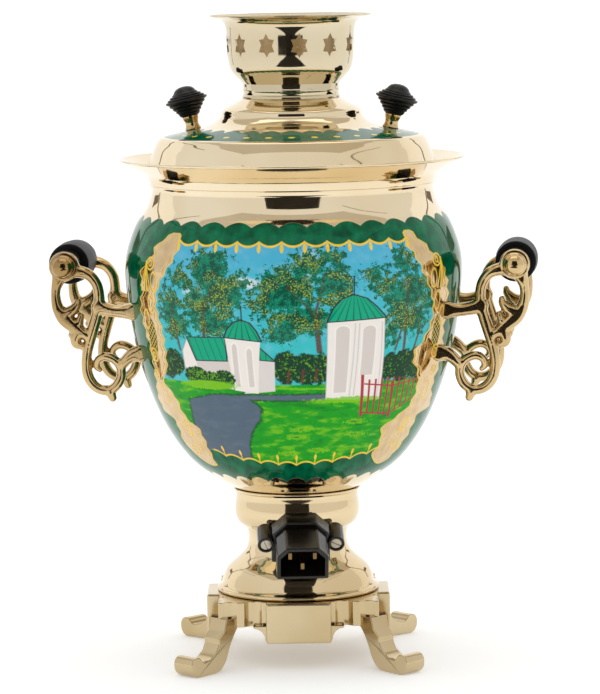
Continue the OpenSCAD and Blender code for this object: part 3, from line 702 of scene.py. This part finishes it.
def landscape(tree, where, angle, height, surface, fleck, blotch):
    streaks = noise(tree, surface, 0.32, 4.0, (0.3, 1.0, 1.0))
    dab = noise(tree, surface, 1.1, 2.0)
    cluster = noise(tree, surface, 0.3, 1.0)
    hue = ((noise(tree, surface, 0.09, 1.0) - 0.46) * 9.0).clip()
    sky = mixed(tree, ((height - 190.0) / 60.0).clip(), SKY_LOW, SKY_TOP)
    view = Picture(tree, where, sky)
    view.lay(((blotch - 0.48) * 4.0).clip() * 0.4, rgb(128, 190, 214))
    cloud(view, fleck)
    trunks(view, 0.85)
    trees(view, dab, cluster, hue)
    trunks(view, ((0.58 - dab) * 6.0).clip() * 0.7)
    ground(view, height, fleck, streaks)
    far_hedges(view, dab, fleck)
    church(view, angle, height)
    hedge(view, dab, fleck, 0.5, (-38, 173, 5.5, 5.5), (-31, 171.5, 5, 4.5), (-26.6, 171.5, 4.6, 5.5))
    bell_tower(view, angle, height)
    verge = view.round((-34, 168), (12, 2.6)).least(view.round((20, 159.4), (14, 1.8)))
    view.lay((verge + (fleck - 0.5) * 2.4).inside(0.6) * 0.9, GRASS_LIGHT)
    fence(view, angle, height)
    return view


def side_scrolls(sides, half, height, gold):
    """(gold, dark green) of the curls, nets and flames on both sides of the picture; the dark green also holds a
    painted reflection, a dark patch over the upper curl.
    """
    for a, z, size in ((56.5, 235, 3.4), (60, 182.5, 3.6), (53, 141, 3.8), (56, 127, 3.2), (62, 171, 2.6)):
        ring = sides.round((a, z), (size * 0.62, size))
        gold = gold.most((ring.size() - 0.3).inside(0.35))
        gold = gold.most(((ring + size * 0.36).size() - 0.22).inside(0.35))
    net_mask = sides.round((58.6, 193), (2.6, 10.5)).inside(0.4)
    diamond = ((half * 1.6 + height).every(3.0).size() - 0.3).least(
        (half * 1.6 - height).every(3.0).size() - 0.3)
    gold = gold.most(diamond.inside(0.35) * net_mask)
    for a, lean in ((57.6, 0.10), (59.6, -0.04), (61.4, -0.16)):
        flame = sides.cornered((a - 1.1, 219), (a + 1.1, 219), (a + lean * 16, 236))
        gold = gold.most((flame.size() - 0.3).inside(0.4) * (height - 219.0).run("GREATER_THAN", 0.0)
                         * (height - 236.4).run("LESS_THAN", 0.0))
    for a, z in ((54.4, 225), (57, 212), (61, 203), (60.5, 160), (51, 133)):
        curl = sides.round((a, z), (1.7, 5.2))
        gold = gold.most((curl.size() - 0.26).inside(0.35) * 0.85)
    # painted reflection: a dark patch in the lacquer over the upper curl, where the surroundings mirror dark
    shadow = sides.round((57.6, 229), (3.6, 7.5)).inside(1.6) * 0.8
    return gold, net_mask.most(shadow)


def painted_belly():
    made, tree, shader = new_finish("painted_belly")
    angle, height, where = belly(tree)
    surface = vectors(tree, "MULTIPLY", where, (1.6, 1.0, 1.0))[0]
    fleck = noise(tree, surface, 0.62, 3.0)
    blotch = noise(tree, surface, 0.16, 3.0)
    view = landscape(tree, where, angle, height, surface, fleck, blotch)

    # bare brass scrolls on both sides of the picture
    half = angle.size()
    inner = frame_edge(tree, angle, height, INNER_RIGHT, INNER_LEFT)
    outer = frame_edge(tree, angle, height, OUTER_RIGHT, OUTER_LEFT)
    lobes = (height.every(7.4).size() - 1.85) * 0.5
    in_edge = inner - half + lobes * 0.7
    out_edge = half - outer + lobes
    frame_ = in_edge.most(out_edge).most(height - 252.5).most(
        117.6 - height + (half - 50.0) * (half - 50.0) * 0.06)
    frame_mask = frame_.inside(0.4)
    hang = angle.every(7.8)
    swag = height - 246.6 - hang * hang * 0.16
    low_hang = (angle + 4.4).every(9.0)
    rise = height - 122.6 - angle * angle * 0.0035 + low_hang * low_hang * 0.1
    paint = (-in_edge).most(swag).most(-rise)
    paint_mask = paint.inside(0.4)
    top_scallop = angle.every(10.0)
    bottom_scallop = angle.every(12.0)
    lacquer = (height - 259.4 + top_scallop * top_scallop * 0.11).most(
        112.0 - height - bottom_scallop * bottom_scallop * 0.085)
    lacquer_mask = lacquer.inside(0.4) * (1.0 - frame_mask) * (1.0 - paint_mask)

    # gold lines
    bead = (angle + 3.9).every(7.8)
    drop = bead * bead * 2.6 + (height - 245.6) * (height - 245.6) * 0.16 - 1.0
    low_bead = (angle + 8.9).every(9.0)
    low_height = height - 125.2 - angle * angle * 0.0035
    seed = low_bead * low_bead * 2.6 + low_height * low_height * 0.34 - 1.0
    within = (half - 44.0).inside(1.0)
    stem = (bead.size() - 0.26).most((height - 247.6).size() - 1.7)
    low_stem = (low_bead.size() - 0.26).most((low_height + 2.4).size() - 2.2)
    gold = (swag.size() - 0.62).least(stem).inside(0.4) * within
    gold = gold.most(drop.inside(0.5) * within)
    gold = gold.most((rise.size() - 0.5).least(low_stem).inside(0.4) * (half - 42.0).inside(1.0))
    gold = gold.most(seed.inside(0.5) * (half - 38.0).inside(1.0))
    gold = gold.most((frame_.size() - 0.34).inside(0.4) * 0.9)
    gold = gold.most(((frame_ + 1.9).size() - 0.16).inside(0.3) * 0.5)
    sides = Picture(tree, pair(tree, half, height), BRASS_BRIGHT)
    gold, dark = side_scrolls(sides, half, height, gold)

    out, bare = bare_brass(tree)
    color = mixed(tree, frame_mask, bare, mixed(tree, blotch, rgb(188, 158, 112), rgb(232, 208, 168)))
    lacquer_tone = mixed(tree, ((blotch - 0.3) * 2.0).clip(), rgb(0, 74, 48), rgb(0, 124, 82))
    color = mixed(tree, lacquer_mask, color, lacquer_tone)
    color = mixed(tree, paint_mask, color, view.color)
    # dark green of the side nets, and the painted dark reflection over the upper side curls
    color = mixed(tree, dark, color, rgb(4, 54, 38))
    color = mixed(tree, gold, color, mixed(tree, fleck, rgb(226, 172, 30), rgb(250, 220, 84)))
    opaque = paint_mask.most(gold)
    covered = opaque.most(lacquer_mask)
    coated(tree, shader, color, (1.0 - opaque) * (1.0 - lacquer_mask * 0.7),
           Sum(tree, out["Roughness"]) + opaque * 0.22, covered * 0.22,
           covered * 0.5 + gold * 0.6 + opaque * fleck * 0.35)
    shader.inputs["Coat Roughness"].default_value = 0.05
    shader.inputs["Specular IOR Level"].default_value = 0.1
    return made


finish["painted_brass"] = painted_belly()
print("painted belly nodes", len(finish["painted_brass"].node_tree.nodes))

# %% Enamelled lid
def enamelled_lid():
    made, tree, shader = new_finish("enamelled_lid")
    angle, height, _ = belly(tree)
    scallop = angle.every(12.0)
    edge = height - 308.4 + scallop * scallop * 0.03
    ring = edge.most(303.6 - height)
    green = ring.inside(0.12)
    mark = angle.every(11.25)
    spots = (mark * mark * 0.35 + (height - 305.3) * (height - 305.3) * 9.0 - 1.0).inside(0.6)
    out, bare = bare_brass(tree)
    color = mixed(tree, green, bare, rgb(0, 92, 62))
    color = mixed(tree, spots, color, rgb(240, 200, 60))
    coated(tree, shader, color, (1.0 - spots) * (1.0 - green), Sum(tree, out["Roughness"]) + green * 0.04,
           green * 0.12, green + spots * 0.6)
    shader.inputs["Coat Roughness"].default_value = 0.06
    shader.inputs["Specular IOR Level"].default_value = 0.12
    return made


finish["lid_enamel"] = enamelled_lid()

# %% [markdown]
# ## Shapes from few points
# A spinner forms sheet over a wooden chuck whose outline is a handful of sizes joined by fair curves. The same idea
# works here: a curve through a few points, spun about the axis with bmesh's spin operator.

# %% Outline and spinning helpers
def fair(points, steps=5):
    """Points of a smooth curve through every given point."""
    ends = [Vector(points[0]), *map(Vector, points), Vector(points[-1])]
    line = []
    for a, b, c, d in zip(ends, ends[1:], ends[2:], ends[3:]):
        for k in range(steps):
            t = k / steps
            line.append(0.5 * (2 * b + (c - a) * t + (2 * a - 5 * b + 4 * c - d) * t * t
                               + (3 * b - a - 3 * c + d) * t * t * t))
    return line + [Vector(points[-1])]


def spun(outline, steps=160, closed=False):
    """A bmesh spun from (radius, height) points about the upright axis."""
    mesh = bmesh.new()
    verts = [mesh.verts.new((p[0], 0, p[1])) for p in outline]
    edges = [mesh.edges.new(pair) for pair in zip(verts, verts[1:])]
    if closed:
        edges.append(mesh.edges.new((verts[-1], verts[0])))
    bmesh.ops.spin(mesh, geom=verts + edges, cent=(0, 0, 0), axis=(0, 0, 1), angle=2 * math.pi,
                   steps=steps, use_merge=True)
    bmesh.ops.remove_doubles(mesh, verts=mesh.verts, dist=0.001)
    bmesh.ops.recalc_face_normals(mesh, faces=mesh.faces)
    return mesh


def pushed(outline, along):
    """A flat closed outline pushed along a vector."""
    mesh = bmesh.new()
    face = mesh.faces.new([mesh.verts.new(p) for p in outline])
    far = bmesh.ops.extrude_face_region(mesh, geom=[face])["geom"]
    bmesh.ops.translate(mesh, vec=along, verts=[g for g in far if isinstance(g, bmesh.types.BMVert)])
    bmesh.ops.recalc_face_normals(mesh, faces=mesh.faces)
    return mesh


def extruded(outline, depth):
    """A flat outline in x and z pushed back along y, from y = 0."""
    return pushed([(p[0], 0, p[1]) for p in outline], (0, depth, 0))


def soften(mesh, width, sharper_than=30, segments=3):
    """Rounds every edge that turns by more than an angle."""
    limit = math.radians(sharper_than)
    edges = [e for e in mesh.edges if len(e.link_faces) == 2 and e.calc_face_angle(0) > limit]
    bmesh.ops.bevel(mesh, geom=edges, offset=width, offset_type="OFFSET", affect="EDGES", segments=segments,
                    profile=0.5, material=-1, clamp_overlap=True)
    return mesh


def joined(*meshes):
    """Several bmeshes as one."""
    whole = bmesh.new()
    for part in meshes:
        data = stored("part", part)
        whole.from_mesh(data)
        bpy.data.meshes.remove(data)
    return whole


def moved(mesh, matrix):
    bmesh.ops.transform(mesh, matrix=matrix, verts=mesh.verts)
    return mesh


def unpacked(data):
    """Mesh data as a bmesh."""
    mesh = bmesh.new()
    mesh.from_mesh(data)
    return mesh


SMOOTH_BELOW = math.radians(38)


def shade(data):
    """Smooth all over, but for the sharper edges."""
    data.polygons.foreach_set("use_smooth", [True] * len(data.polygons))
    data.set_sharp_from_angle(angle=SMOOTH_BELOW)


def piece(name, mesh, body, slot, replaces, placing=CLOCKED, coat=None, flats=False):
    """Turns a bmesh in millimetres into a finished object of the frame."""
    data = stored(name, moved(mesh, placing))
    shade(data)
    made = linked(name, data)
    data.materials.append(finish[coat or slot])
    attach(made, body)
    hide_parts(*replaces)
    if flats:
        keep_flat(made)
    return made


def keep_flat(made):
    """Keeps broad faces flat to the light, with all the turning left to the rounded edges."""
    normals = made.modifiers.new("flats", "WEIGHTED_NORMAL")
    normals.weight = 100
    normals.keep_sharp = True


def thicken(made, thickness, inside=None):
    """Gives a sheet its wall, grown inwards from the outside surface, with a finish of its own if asked."""
    wall = made.modifiers.new("wall", "SOLIDIFY")
    wall.thickness = thickness * MM
    wall.offset = -1
    wall.use_even_offset = True
    if inside:
        made.data.materials.append(finish[inside])
        wall.material_offset = 1
    return made


def settle(made):
    """Replaces the mesh by what its modifiers make of it."""
    bpy.context.view_layer.update()
    data = bpy.data.meshes.new_from_object(made.evaluated_get(bpy.context.evaluated_depsgraph_get()))
    made.modifiers.clear()
    made.data = data
    return made


def cut(made, cutter, placing):
    """Takes the cutter's shape, given in millimetres, out of a piece."""
    moved(cutter, placing)
    bmesh.ops.recalc_face_normals(cutter, faces=cutter.faces)
    tool = linked("cutter", stored("cutter", cutter))
    taking = made.modifiers.new("cut", "BOOLEAN")
    taking.operation = "DIFFERENCE"
    taking.solver = "EXACT"
    taking.object = tool
    settle(made)
    bpy.data.objects.remove(tool)
    shade(made.data)
    return made


WALL = 0.9

# %% Vessel
vessel_line = [Vector((82.2, 276.5))] + fair([
    (82.2, 275.9), (81.4, 272), (84.3, 263), (90.8, 253.3), (96, 239), (97.4, 227), (96.2, 209.5), (92.2, 184),
    (85.4, 160.5), (75.3, 137), (62.3, 118.3), (47.8, 106.5), (36, 99.5)], 6)
thicken(piece("vessel", spun(vessel_line, 192), "samovar", "painted_brass", ["body_shell"]), WALL)

# %% Drip ring
ring_outline = (
    fair([(82.2, 276.5), (84.5, 281.4), (91.7, 286), (98.6, 289.6)], 6)
    + fair([(99.5, 290.0), (99.8, 290.7), (99.2, 291.3), (98.2, 291.0)], 3)
    + fair([(97.4, 290.5), (91.2, 287.2), (86.6, 284.3)], 4)
    + [Vector((85.6, 283.2)), Vector((80.8, 283.2)), Vector((80.8, 276.5))])
piece("drip_ring", spun(ring_outline, 192, closed=True), "samovar", "polished_brass", ["top_ring"])

# %% Pedestal
pedestal_line = (
    fair([(36.1, 99.45), (36.8, 99.2), (37.0, 98.6), (36.6, 98.0), (35.6, 97.2)], 3)
    + fair([(35.5, 94), (36.3, 86), (34.6, 80), (30.2, 75.8), (28.6, 70), (30.2, 63), (34.6, 58),
            (40.4, 53), (43, 48.5), (44.4, 43.6), (46.2, 41.8)], 6)
    + fair([(47, 41.2), (47.2, 40.3), (46.8, 39.3)], 3))
thicken(piece("pedestal_shell", spun(pedestal_line, 160), "samovar", "polished_brass", ["pedestal"],
              placing=STRAIGHT, coat="pedestal_brass"), WALL)

# %% Lid
lid_line = (
    [Vector((26.3, 333.6)), Vector((26.3, 325.2)), Vector((28.2, 325.0))]
    + fair([(28.8, 324.5), (32, 322.6), (36.6, 320.3), (39.6, 318.2), (40.3, 315.8)], 5)
    + fair([(41.0, 314.4), (44.2, 311.5), (50, 309)], 5)
    + fair([(52, 308.5), (75.0, 303.25)], 6)
    + fair([(76.4, 302.5), (77.4, 301), (79.3, 297.6), (81.4, 292), (84.4, 284.8)], 5))
thicken(piece("lid_shell", spun(lid_line, 192), "lid_group", "lid_enamel", ["lid"]), WALL)

# %% [markdown]
# ## Pierced stars
# Twelve six-pointed stars are punched through the wall of the teapot ring. One star is drawn, pushed through the
# wall as a cutter, and repeated round the ring.

# %% Teapot ring
FIRST_STAR, STAR_HEIGHT = 13.6, 355.6


def star_cutter():
    star = []
    for k in range(12):
        reach = 1 if k % 2 == 0 else 0.63
        turn = math.radians(30 * k)
        star.append((5.5 * reach * math.sin(turn), 7.0 * reach * math.cos(turn)))
    cutters = []
    for k in range(12):
        cutters.append(moved(extruded(star, 30), rotation(FIRST_STAR + 30 * k) @ shift(0, -55, STAR_HEIGHT)))
    return joined(*cutters)


crown_line = (
    fair([(46.6, 372.9), (46.8, 372.3), (46.2, 371.8)], 3)
    + fair([(44.8, 371.3), (41.4, 370.6), (38.4, 368.4), (37, 364), (36.5, 354), (36, 347),
            (34.4, 341), (30.8, 336.7), (28.5, 334.2)], 6) + [Vector((27.9, 333.4))])
crown = piece("teapot_ring_cup", spun(crown_line, 192), "ring_group", "polished_brass", ["teapot_ring"],
              coat="crown_brass")
cut(thicken(crown, WALL, "inner_brass"), star_cutter(), CLOCKED)

# %% Ring collar
collar_line = [
    (26.6, 325.1), (28.1, 325.1), (28.3, 325.3), (28.3, 326.1), (28.0, 326.7), (27.6, 327.2), (27.6, 329),
    (27.9, 329.4), (27.9, 330.2), (27.6, 330.6), (27.6, 333.4), (26.6, 333.4)]
piece("ring_collar_spun", spun(collar_line, 160, closed=True), "ring_group", "polished_brass", ["ring_collar"],
      coat="crown_brass")

# %% Knobs and stems
LID_FALL = (309 - 303.2) / (75.2 - 50)
LEAN = math.degrees(math.atan(LID_FALL))
KNOB_X = 57
KNOB_BASE = 303.2 + (75.2 - KNOB_X) * LID_FALL
STEM = 8.0
knob_line = [
    (0, 0.02), (5.0, 0.02), (5.6, 0.5), (6.3, 1.5), (6.0, 1.9), (7.3, 3.0), (7.6, 3.6), (7.2, 4.0), (8.7, 5.0),
    (9.1, 5.7), (8.6, 6.1), (10.3, 7.2), (10.6, 7.9), (10.2, 8.3), (11.9, 9.2), (12.3, 9.9), (12.0, 10.5),
    (10.7, 10.9), (10.9, 11.4), (10.6, 11.9), (9.1, 12.3), (9.3, 12.8), (8.9, 13.3), (7.5, 13.6), (7.5, 14.2),
    (6.6, 14.9), (5.9, 16.2), (4.6, 17.5), (2.6, 18.3), (0, 18.6)]
stem_line = [
    (0, 0.02), (4.6, 0.02), (4.7, 0.5), (4.4, 1.1), (4.0, 2.0), (3.8, 3.4), (4.0, 4.8), (4.5, 6.0), (4.7, 6.5),
    (4.4, 6.8), (4.8, 7.2), (4.8, 7.7), (4.5, 7.98), (0, 7.98)]
for side, word in ((-1, "left"), (1, "right")):
    seat = shift(side * KNOB_X, 0, KNOB_BASE) @ rotation(side * LEAN, "Y")
    perch = seat @ shift(0, 0, STEM) @ Matrix.Diagonal((1, 1, 0.93, 1))
    piece(f"turned_knob_{word}", moved(spun(knob_line, 64), perch), "lid_group",
          "black_wood", [f"knob_{word}"])
    piece(f"turned_stem_{word}", moved(spun(stem_line, 48), seat), "lid_group", "polished_brass",
          [f"knob_stem_{word}"], coat="cast_brass")

# %% [markdown]
# ## Cast base
# The founder's pattern is a square block with reeded sides, four flat panels and four scroll legs. The block is one
# outline pushed up and softened. Each panel and leg is drawn from its side in the same way.

# %% Base casting
BLOCK, PANEL_HALF, PANEL_OUT = 46.0, 18.6, 53.0
ARCH, TOP, LEG_WIDE = 24.5, 39.0, 13


def flute(centre, radius, start, end, steps=10):
    """Points of a hollow reed between two places along the block's front edge."""
    points = []
    for k in range(steps + 1):
        x = start + (end - start) * k / steps
        points.append((x, centre[1] + math.sqrt(max(radius ** 2 - (x - centre[0]) ** 2, 0))))
    return points


def block_outline():
    """The plan of the base block, one side repeated by quarter turns."""
    left = [(-BLOCK, -BLOCK)] + flute((-39.4, -50), 5.8, -43.6, -35.2) + flute((-26, -49.6), 6.4, -31.2, -20.8)
    side = left + [(-PANEL_HALF, -BLOCK + 0.2)] + [(-x, y) for x, y in reversed(left[1:])]
    plan = []
    for quarter in range(4):
        turn = Matrix.Rotation(math.radians(90 * quarter), 2)
        plan += [turn @ Vector(p) for p in side]
    return plan


def base_block():
    plan = [(p[0], p[1], ARCH) for p in block_outline()]
    return soften(pushed(plan, (0, 0, TOP - ARCH)), 0.5, 25, 2)


def base_panel():
    """A flat panel, with a hollow gusset on each side that runs up to the arch."""
    low = [(PANEL_HALF - 0.8, 16.6), (PANEL_HALF + 0.5, 17.4), (PANEL_HALF + 1.0, 20), (PANEL_HALF + 2.4, 22.4),
           (PANEL_HALF + 4.6, 24), (PANEL_HALF + 7.4, 24.6), (PANEL_HALF + 7.4, 26), (PANEL_HALF - 1, 26)]
    wing = low + [(-x, z) for x, z in reversed(low)]
    back = moved(extruded(wing, 6), shift(0, -PANEL_OUT + 2.2, 0))
    slab = extruded([(-PANEL_HALF, 16), (PANEL_HALF, 16), (PANEL_HALF, TOP), (-PANEL_HALF, TOP)], 8)
    front = soften(moved(slab, shift(0, -PANEL_OUT, 0)), 1.1, 30, 3)
    return joined(soften(back, 0.5, 30, 2), front)


def base_leg():
    """A scroll leg: knuckle, hollow and full toe, narrower at the ankle than at the knee and the toe."""
    outer = ([Vector((64.8, 30)), Vector((66.4, 23.6)), Vector((70.6, 19.4)), Vector((70.4, 16.4))]
             + fair([(71, 15.4), (73.6, 11.2), (78, 8.6), (83, 7.9)], 4)
             + fair([(84.6, 9.0), (87, 11.2), (90.6, 11.2), (93.1, 8.6), (93, 4), (90.6, 0.9), (87.6, 0)], 5))
    inner = fair([(74, 0.0), (69.6, 1.2), (65.4, 6), (62.4, 13), (59.4, 19), (55.4, 24.6), (50, 30)], 4)
    leg = moved(extruded(outer + inner, LEG_WIDE), shift(0, -LEG_WIDE / 2, 0))
    for vert in leg.verts:
        flare = 0.16 * math.sin(max(vert.co.x - 74, 0) / 19 * math.pi / 2)
        waist = 0.1 * math.exp(-((vert.co.x - 75) / 5) ** 2)
        vert.co.y *= 1 + flare - waist
    return soften(leg, 1.5, 22, 3)


def base_mesh():
    parts = [base_block()]
    for quarter in range(4):
        parts.append(moved(base_panel(), rotation(90 * quarter)))
        parts.append(moved(base_leg(), rotation(90 * quarter + 45)))
    return joined(*parts)


piece("base_cast", base_mesh(), "samovar", "cast_brass", ["base_casting"], placing=STRAIGHT,
      coat="filed_brass", flats=True)

# %% [markdown]
# ## Cast handles
# A handle bracket is a scroll drawn with a thick brush: each stroke is a round bar whose thickness swells and fades.
# The strokes are melted together with a voxel remesh, which leaves the soft joins of a casting.

# %% Bracket strokes
BRACKET_Y = 31
SCROLL = [
    [(129, 227, 5.0), (122.5, 228.2, 3.9), (115.3, 226.2, 3.3), (111, 221.3, 3.1), (109.4, 215.6, 3.1),
     (109.5, 209.2, 3.3), (111, 202, 3.4), (113.2, 194.9, 3.4), (115.2, 187.8, 3.2), (116.9, 180.6, 3.0),
     (117.4, 173.5, 3.0), (116.4, 167.4, 3.1), (113.4, 162.4, 3.0), (108.8, 159.6, 2.9), (103.8, 159.6, 3.0),
     (99.6, 162.8, 3.0), (97.3, 168.4, 2.8), (98.2, 173.8, 2.7), (101.7, 177.4, 2.6), (106.7, 178.9, 2.6),
     (110.6, 176.8, 2.3), (111.6, 173.2, 1.9), (109.6, 171.2, 1.5)],
    [(132, 225, 4.4), (134.2, 218, 2.8), (134.3, 212, 2.9), (133, 206.4, 3.5), (129.2, 200.8, 4.4),
     (124.2, 196.4, 4.0), (119.8, 193, 3.5), (116, 190.6, 3.1)],
    [(129.4, 203.4, 3.8), (125, 205.6, 3.4), (122.2, 208.6, 2.7), (121.6, 211, 1.9)],
    [(121.2, 198.6, 2.8), (119.9, 202.4, 1.9)],
    [(121.4, 194.4, 3.6), (123.2, 190, 3.4), (123, 186.6, 3.0), (120.8, 185.2, 2.3)],
    [(123.6, 192.6, 2.8), (126, 191.4, 1.8)],
    [(89.6, 204.9, 5.3), (94, 204.9, 4.3), (99, 205, 3.7), (104, 205.8, 3.9), (109.5, 207.4, 4.6)],
    [(85.4, 180.5, 5.2), (89.6, 180.0, 4.3), (93.4, 177.6, 3.6), (97, 173.8, 3.1)],
    [(103.6, 158, 3.1), (102.5, 154.8, 2.3)],
]
GRIP_X, GRIP_Z = 129, 231
FACE = 4.3
DEEPER = (1, 1.35, 1)
SKIN = 0.6


def scroll_mesh():
    data = bpy.data.curves.new("scroll", "CURVE")
    data.dimensions = "3D"
    data.bevel_depth = 1
    data.bevel_resolution = 5
    data.use_fill_caps = True
    for stroke in SCROLL:
        line = data.splines.new("POLY")
        points = fair([Vector(p) for p in stroke], 4)
        line.points.add(len(points) - 1)
        for point, p in zip(line.points, points):
            point.co = (p[0], 0, p[1], 1)
            point.radius = p[2]
    bar = linked("scroll", data)
    bpy.context.view_layer.update()
    mesh = unpacked(bpy.data.meshes.new_from_object(bar.evaluated_get(bpy.context.evaluated_depsgraph_get())))
    bpy.data.objects.remove(bar)
    bmesh.ops.scale(mesh, vec=DEEPER, verts=mesh.verts)
    for stroke in SCROLL:
        for x, z, radius in (stroke[0], stroke[-1]):
            ball = bmesh.new()
            bmesh.ops.create_uvsphere(ball, u_segments=20, v_segments=12, radius=radius)
            bmesh.ops.scale(ball, vec=DEEPER, verts=ball.verts)
            mesh = joined(mesh, moved(ball, shift(x, 0, z)))
    for vert in mesh.verts:
        vert.co.y = max(-FACE, min(FACE, vert.co.y))
    eye = spun([(3.4, -4), (8, -4), (8.6, -3.4), (8.6, 13.2), (8.0, 13.9), (3.4, 13.9)], 64, closed=True)
    return joined(mesh, moved(eye, shift(GRIP_X, 0, GRIP_Z) @ rotation(-90, "X")))


def melted(mesh):
    """The strokes as one skin."""
    lump = linked("melt", stored("melt", mesh))
    skin = lump.modifiers.new("skin", "REMESH")
    skin.mode = "VOXEL"
    skin.voxel_size = SKIN
    calm = lump.modifiers.new("calm", "SMOOTH")
    calm.factor = 0.6
    calm.iterations = 4
    data = settle(lump).data
    bpy.data.objects.remove(lump)
    return data


bracket = melted(scroll_mesh())
print("bracket faces", len(bracket.polygons))
for side, word in ((-1, "left"), (1, "right")):
    for end, place in ((-1, "front"), (1, "rear")):
        copy = unpacked(bracket)
        bmesh.ops.scale(copy, vec=(side, -end, 1), verts=copy.verts)
        bmesh.ops.translate(copy, vec=(0, end * BRACKET_Y, 0), verts=copy.verts)
        bmesh.ops.recalc_face_normals(copy, faces=copy.faces)
        piece(f"scroll_{word}_{place}", copy, "samovar", "cast_brass", [f"bracket_{word}_{place}"])

# %% Grips and cap nuts
grip_line = ([(3.3, -17), (9.7, -17)] + fair([(10.8, -16.6), (11.6, -15.6), (11.9, -10), (12.2, 0)], 5)
             + fair([(12.2, 0), (11.9, 10), (11.6, 15.6), (10.8, 16.6)], 5)[1:] + [(9.7, 17), (3.3, 17)])
cap_line = ([(0, 0.02), (7.0, 0.02)] + fair([(7.0, 1.2), (6.7, 2.6), (6.0, 3.6), (5.9, 4.6), (5.4, 6.4), (4.0, 8.2),
                                               (2.0, 9.1), (0, 9.3)], 4))
flange_line = [(0, 0.02), (8.0, 0.02), (8.2, 0.3), (8.0, 0.9), (7.4, 1.1), (0, 1.1)]
for side, word in ((-1, "left"), (1, "right")):
    lay = shift(side * GRIP_X, 0, GRIP_Z) @ rotation(90, "X")
    piece(f"turned_grip_{word}", moved(spun(grip_line, 80, closed=True), lay), "samovar", "black_phenolic",
          [f"grip_{word}"])
caps, screws = [], []
for side in (-1, 1):
    for end in (-1, 1):
        seat = shift(side * GRIP_X, end * (BRACKET_Y + 4), GRIP_Z) @ rotation(-end * 90, "X")
        caps.append(moved(joined(spun(cap_line, 48), spun(flange_line, 48)), seat))
        for x, z, reach in ((83.6, 203, 12), (78.6, 180.5, 11)):
            screw = spun([(0, 0), (4.2, 0), (4.2, 2.4), (1.9, 2.4), (1.9, reach), (0, reach)], 32)
            screws.append(moved(screw, shift(side * x, end * BRACKET_Y, z) @ rotation(side * 90, "Y")))
piece("cap_nuts", joined(*caps), "samovar", "cast_brass", ["grip_cap_nuts"])
piece("inside_screws", joined(*screws), "samovar", "zinc_plated_steel", ["handle_screws"])

# %% [markdown]
# ## Mains inlet
# A moulded shroud with two chamfered corners, a collar that follows the pedestal, and an ear on each side for its
# screw. The well is cut out last, and all the outer edges are softened as a mould leaves them.

# %% Inlet housing
INLET_CLOCKING, INLET_TILT = 2.5, 23
INLET = STRAIGHT @ rotation(INLET_CLOCKING) @ shift(0, -45, 73) @ rotation(INLET_TILT, "X")
SCREW_X = 20


def chamfered(wide, tall, corner):
    return [(-wide / 2, -tall / 2), (wide / 2, -tall / 2), (wide / 2, tall / 2 - corner),
            (wide / 2 - corner, tall / 2), (-wide / 2 + corner, tall / 2), (-wide / 2, tall / 2 - corner)]


def inlet_mesh():
    shroud = moved(extruded(chamfered(29.4, 20.4, 5.6), 24), shift(0, -22.5, 0))
    collar = extruded(chamfered(33.4, 26, 8), 12)
    parts = [soften(shroud, 0.9, 30, 3), soften(collar, 0.9, 30, 3)]
    for side in (-1, 1):
        ear = bmesh.new()
        bmesh.ops.create_cone(ear, cap_ends=True, segments=40, radius1=4.9, radius2=4.9, depth=16.4)
        soften(ear, 0.6, 30, 3)
        parts.append(moved(ear, shift(side * SCREW_X, 5.8, 0) @ rotation(90, "X")))
        web = moved(extruded([(-3.4, -3), (3.4, -3), (3.4, 3), (-3.4, 3)], 11), shift(side * 17, 1.2, 0))
        parts.append(soften(web, 0.4, 30, 2))
    return joined(*parts)


housing = piece("moulded_inlet", inlet_mesh(), "samovar", "black_plastic", ["inlet_housing"], placing=INLET)
screws = []
hollows = [moved(extruded(chamfered(25.2, 16.6, 4.8), 18), shift(0, -24, 0))]
for side in (-1, 1):
    seat = shift(side * SCREW_X, 0, 0) @ rotation(90, "X")
    hollows.append(moved(spun([(0, 0.6), (3.7, 0.6), (3.7, 4), (0, 4)], 40), seat))
    screws.append(moved(spun([(0, -31), (1.65, -31), (1.65, 0.62), (3.5, 0.62), (3.5, 1.3), (3.1, 1.75),
                              (1.6, 1.95), (0, 2)], 40), seat))
slots = [moved(extruded([(-3, -0.4), (3, -0.4), (3, 0.4), (-3, 0.4)], 2),
               shift(side * SCREW_X, -3.1, 0) @ Matrix.Rotation(turn, 4, "Y"))
         for side, turn in ((-1, 1.2), (1, 0.5))]
heads = piece("inlet_screw_pair", joined(*screws), "samovar", "zinc_plated_steel", ["inlet_screws"], placing=INLET)
cut(heads, joined(*slots), INLET)
keep_flat(cut(housing, joined(*hollows), INLET))

# %% Everything else keeps its own shape
# The inlet's pins take a darker brass, painted shade for the deep well they sit in.
OWN_FINISH = {"inlet_pins": "shaded_pin_brass"}
for name, node in frame["nodes"].items():
    for place in node.material_slots:
        place.material = finish[OWN_FINISH.get(name, place.material.name.split(".")[0])]

# %% Close
low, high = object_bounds()
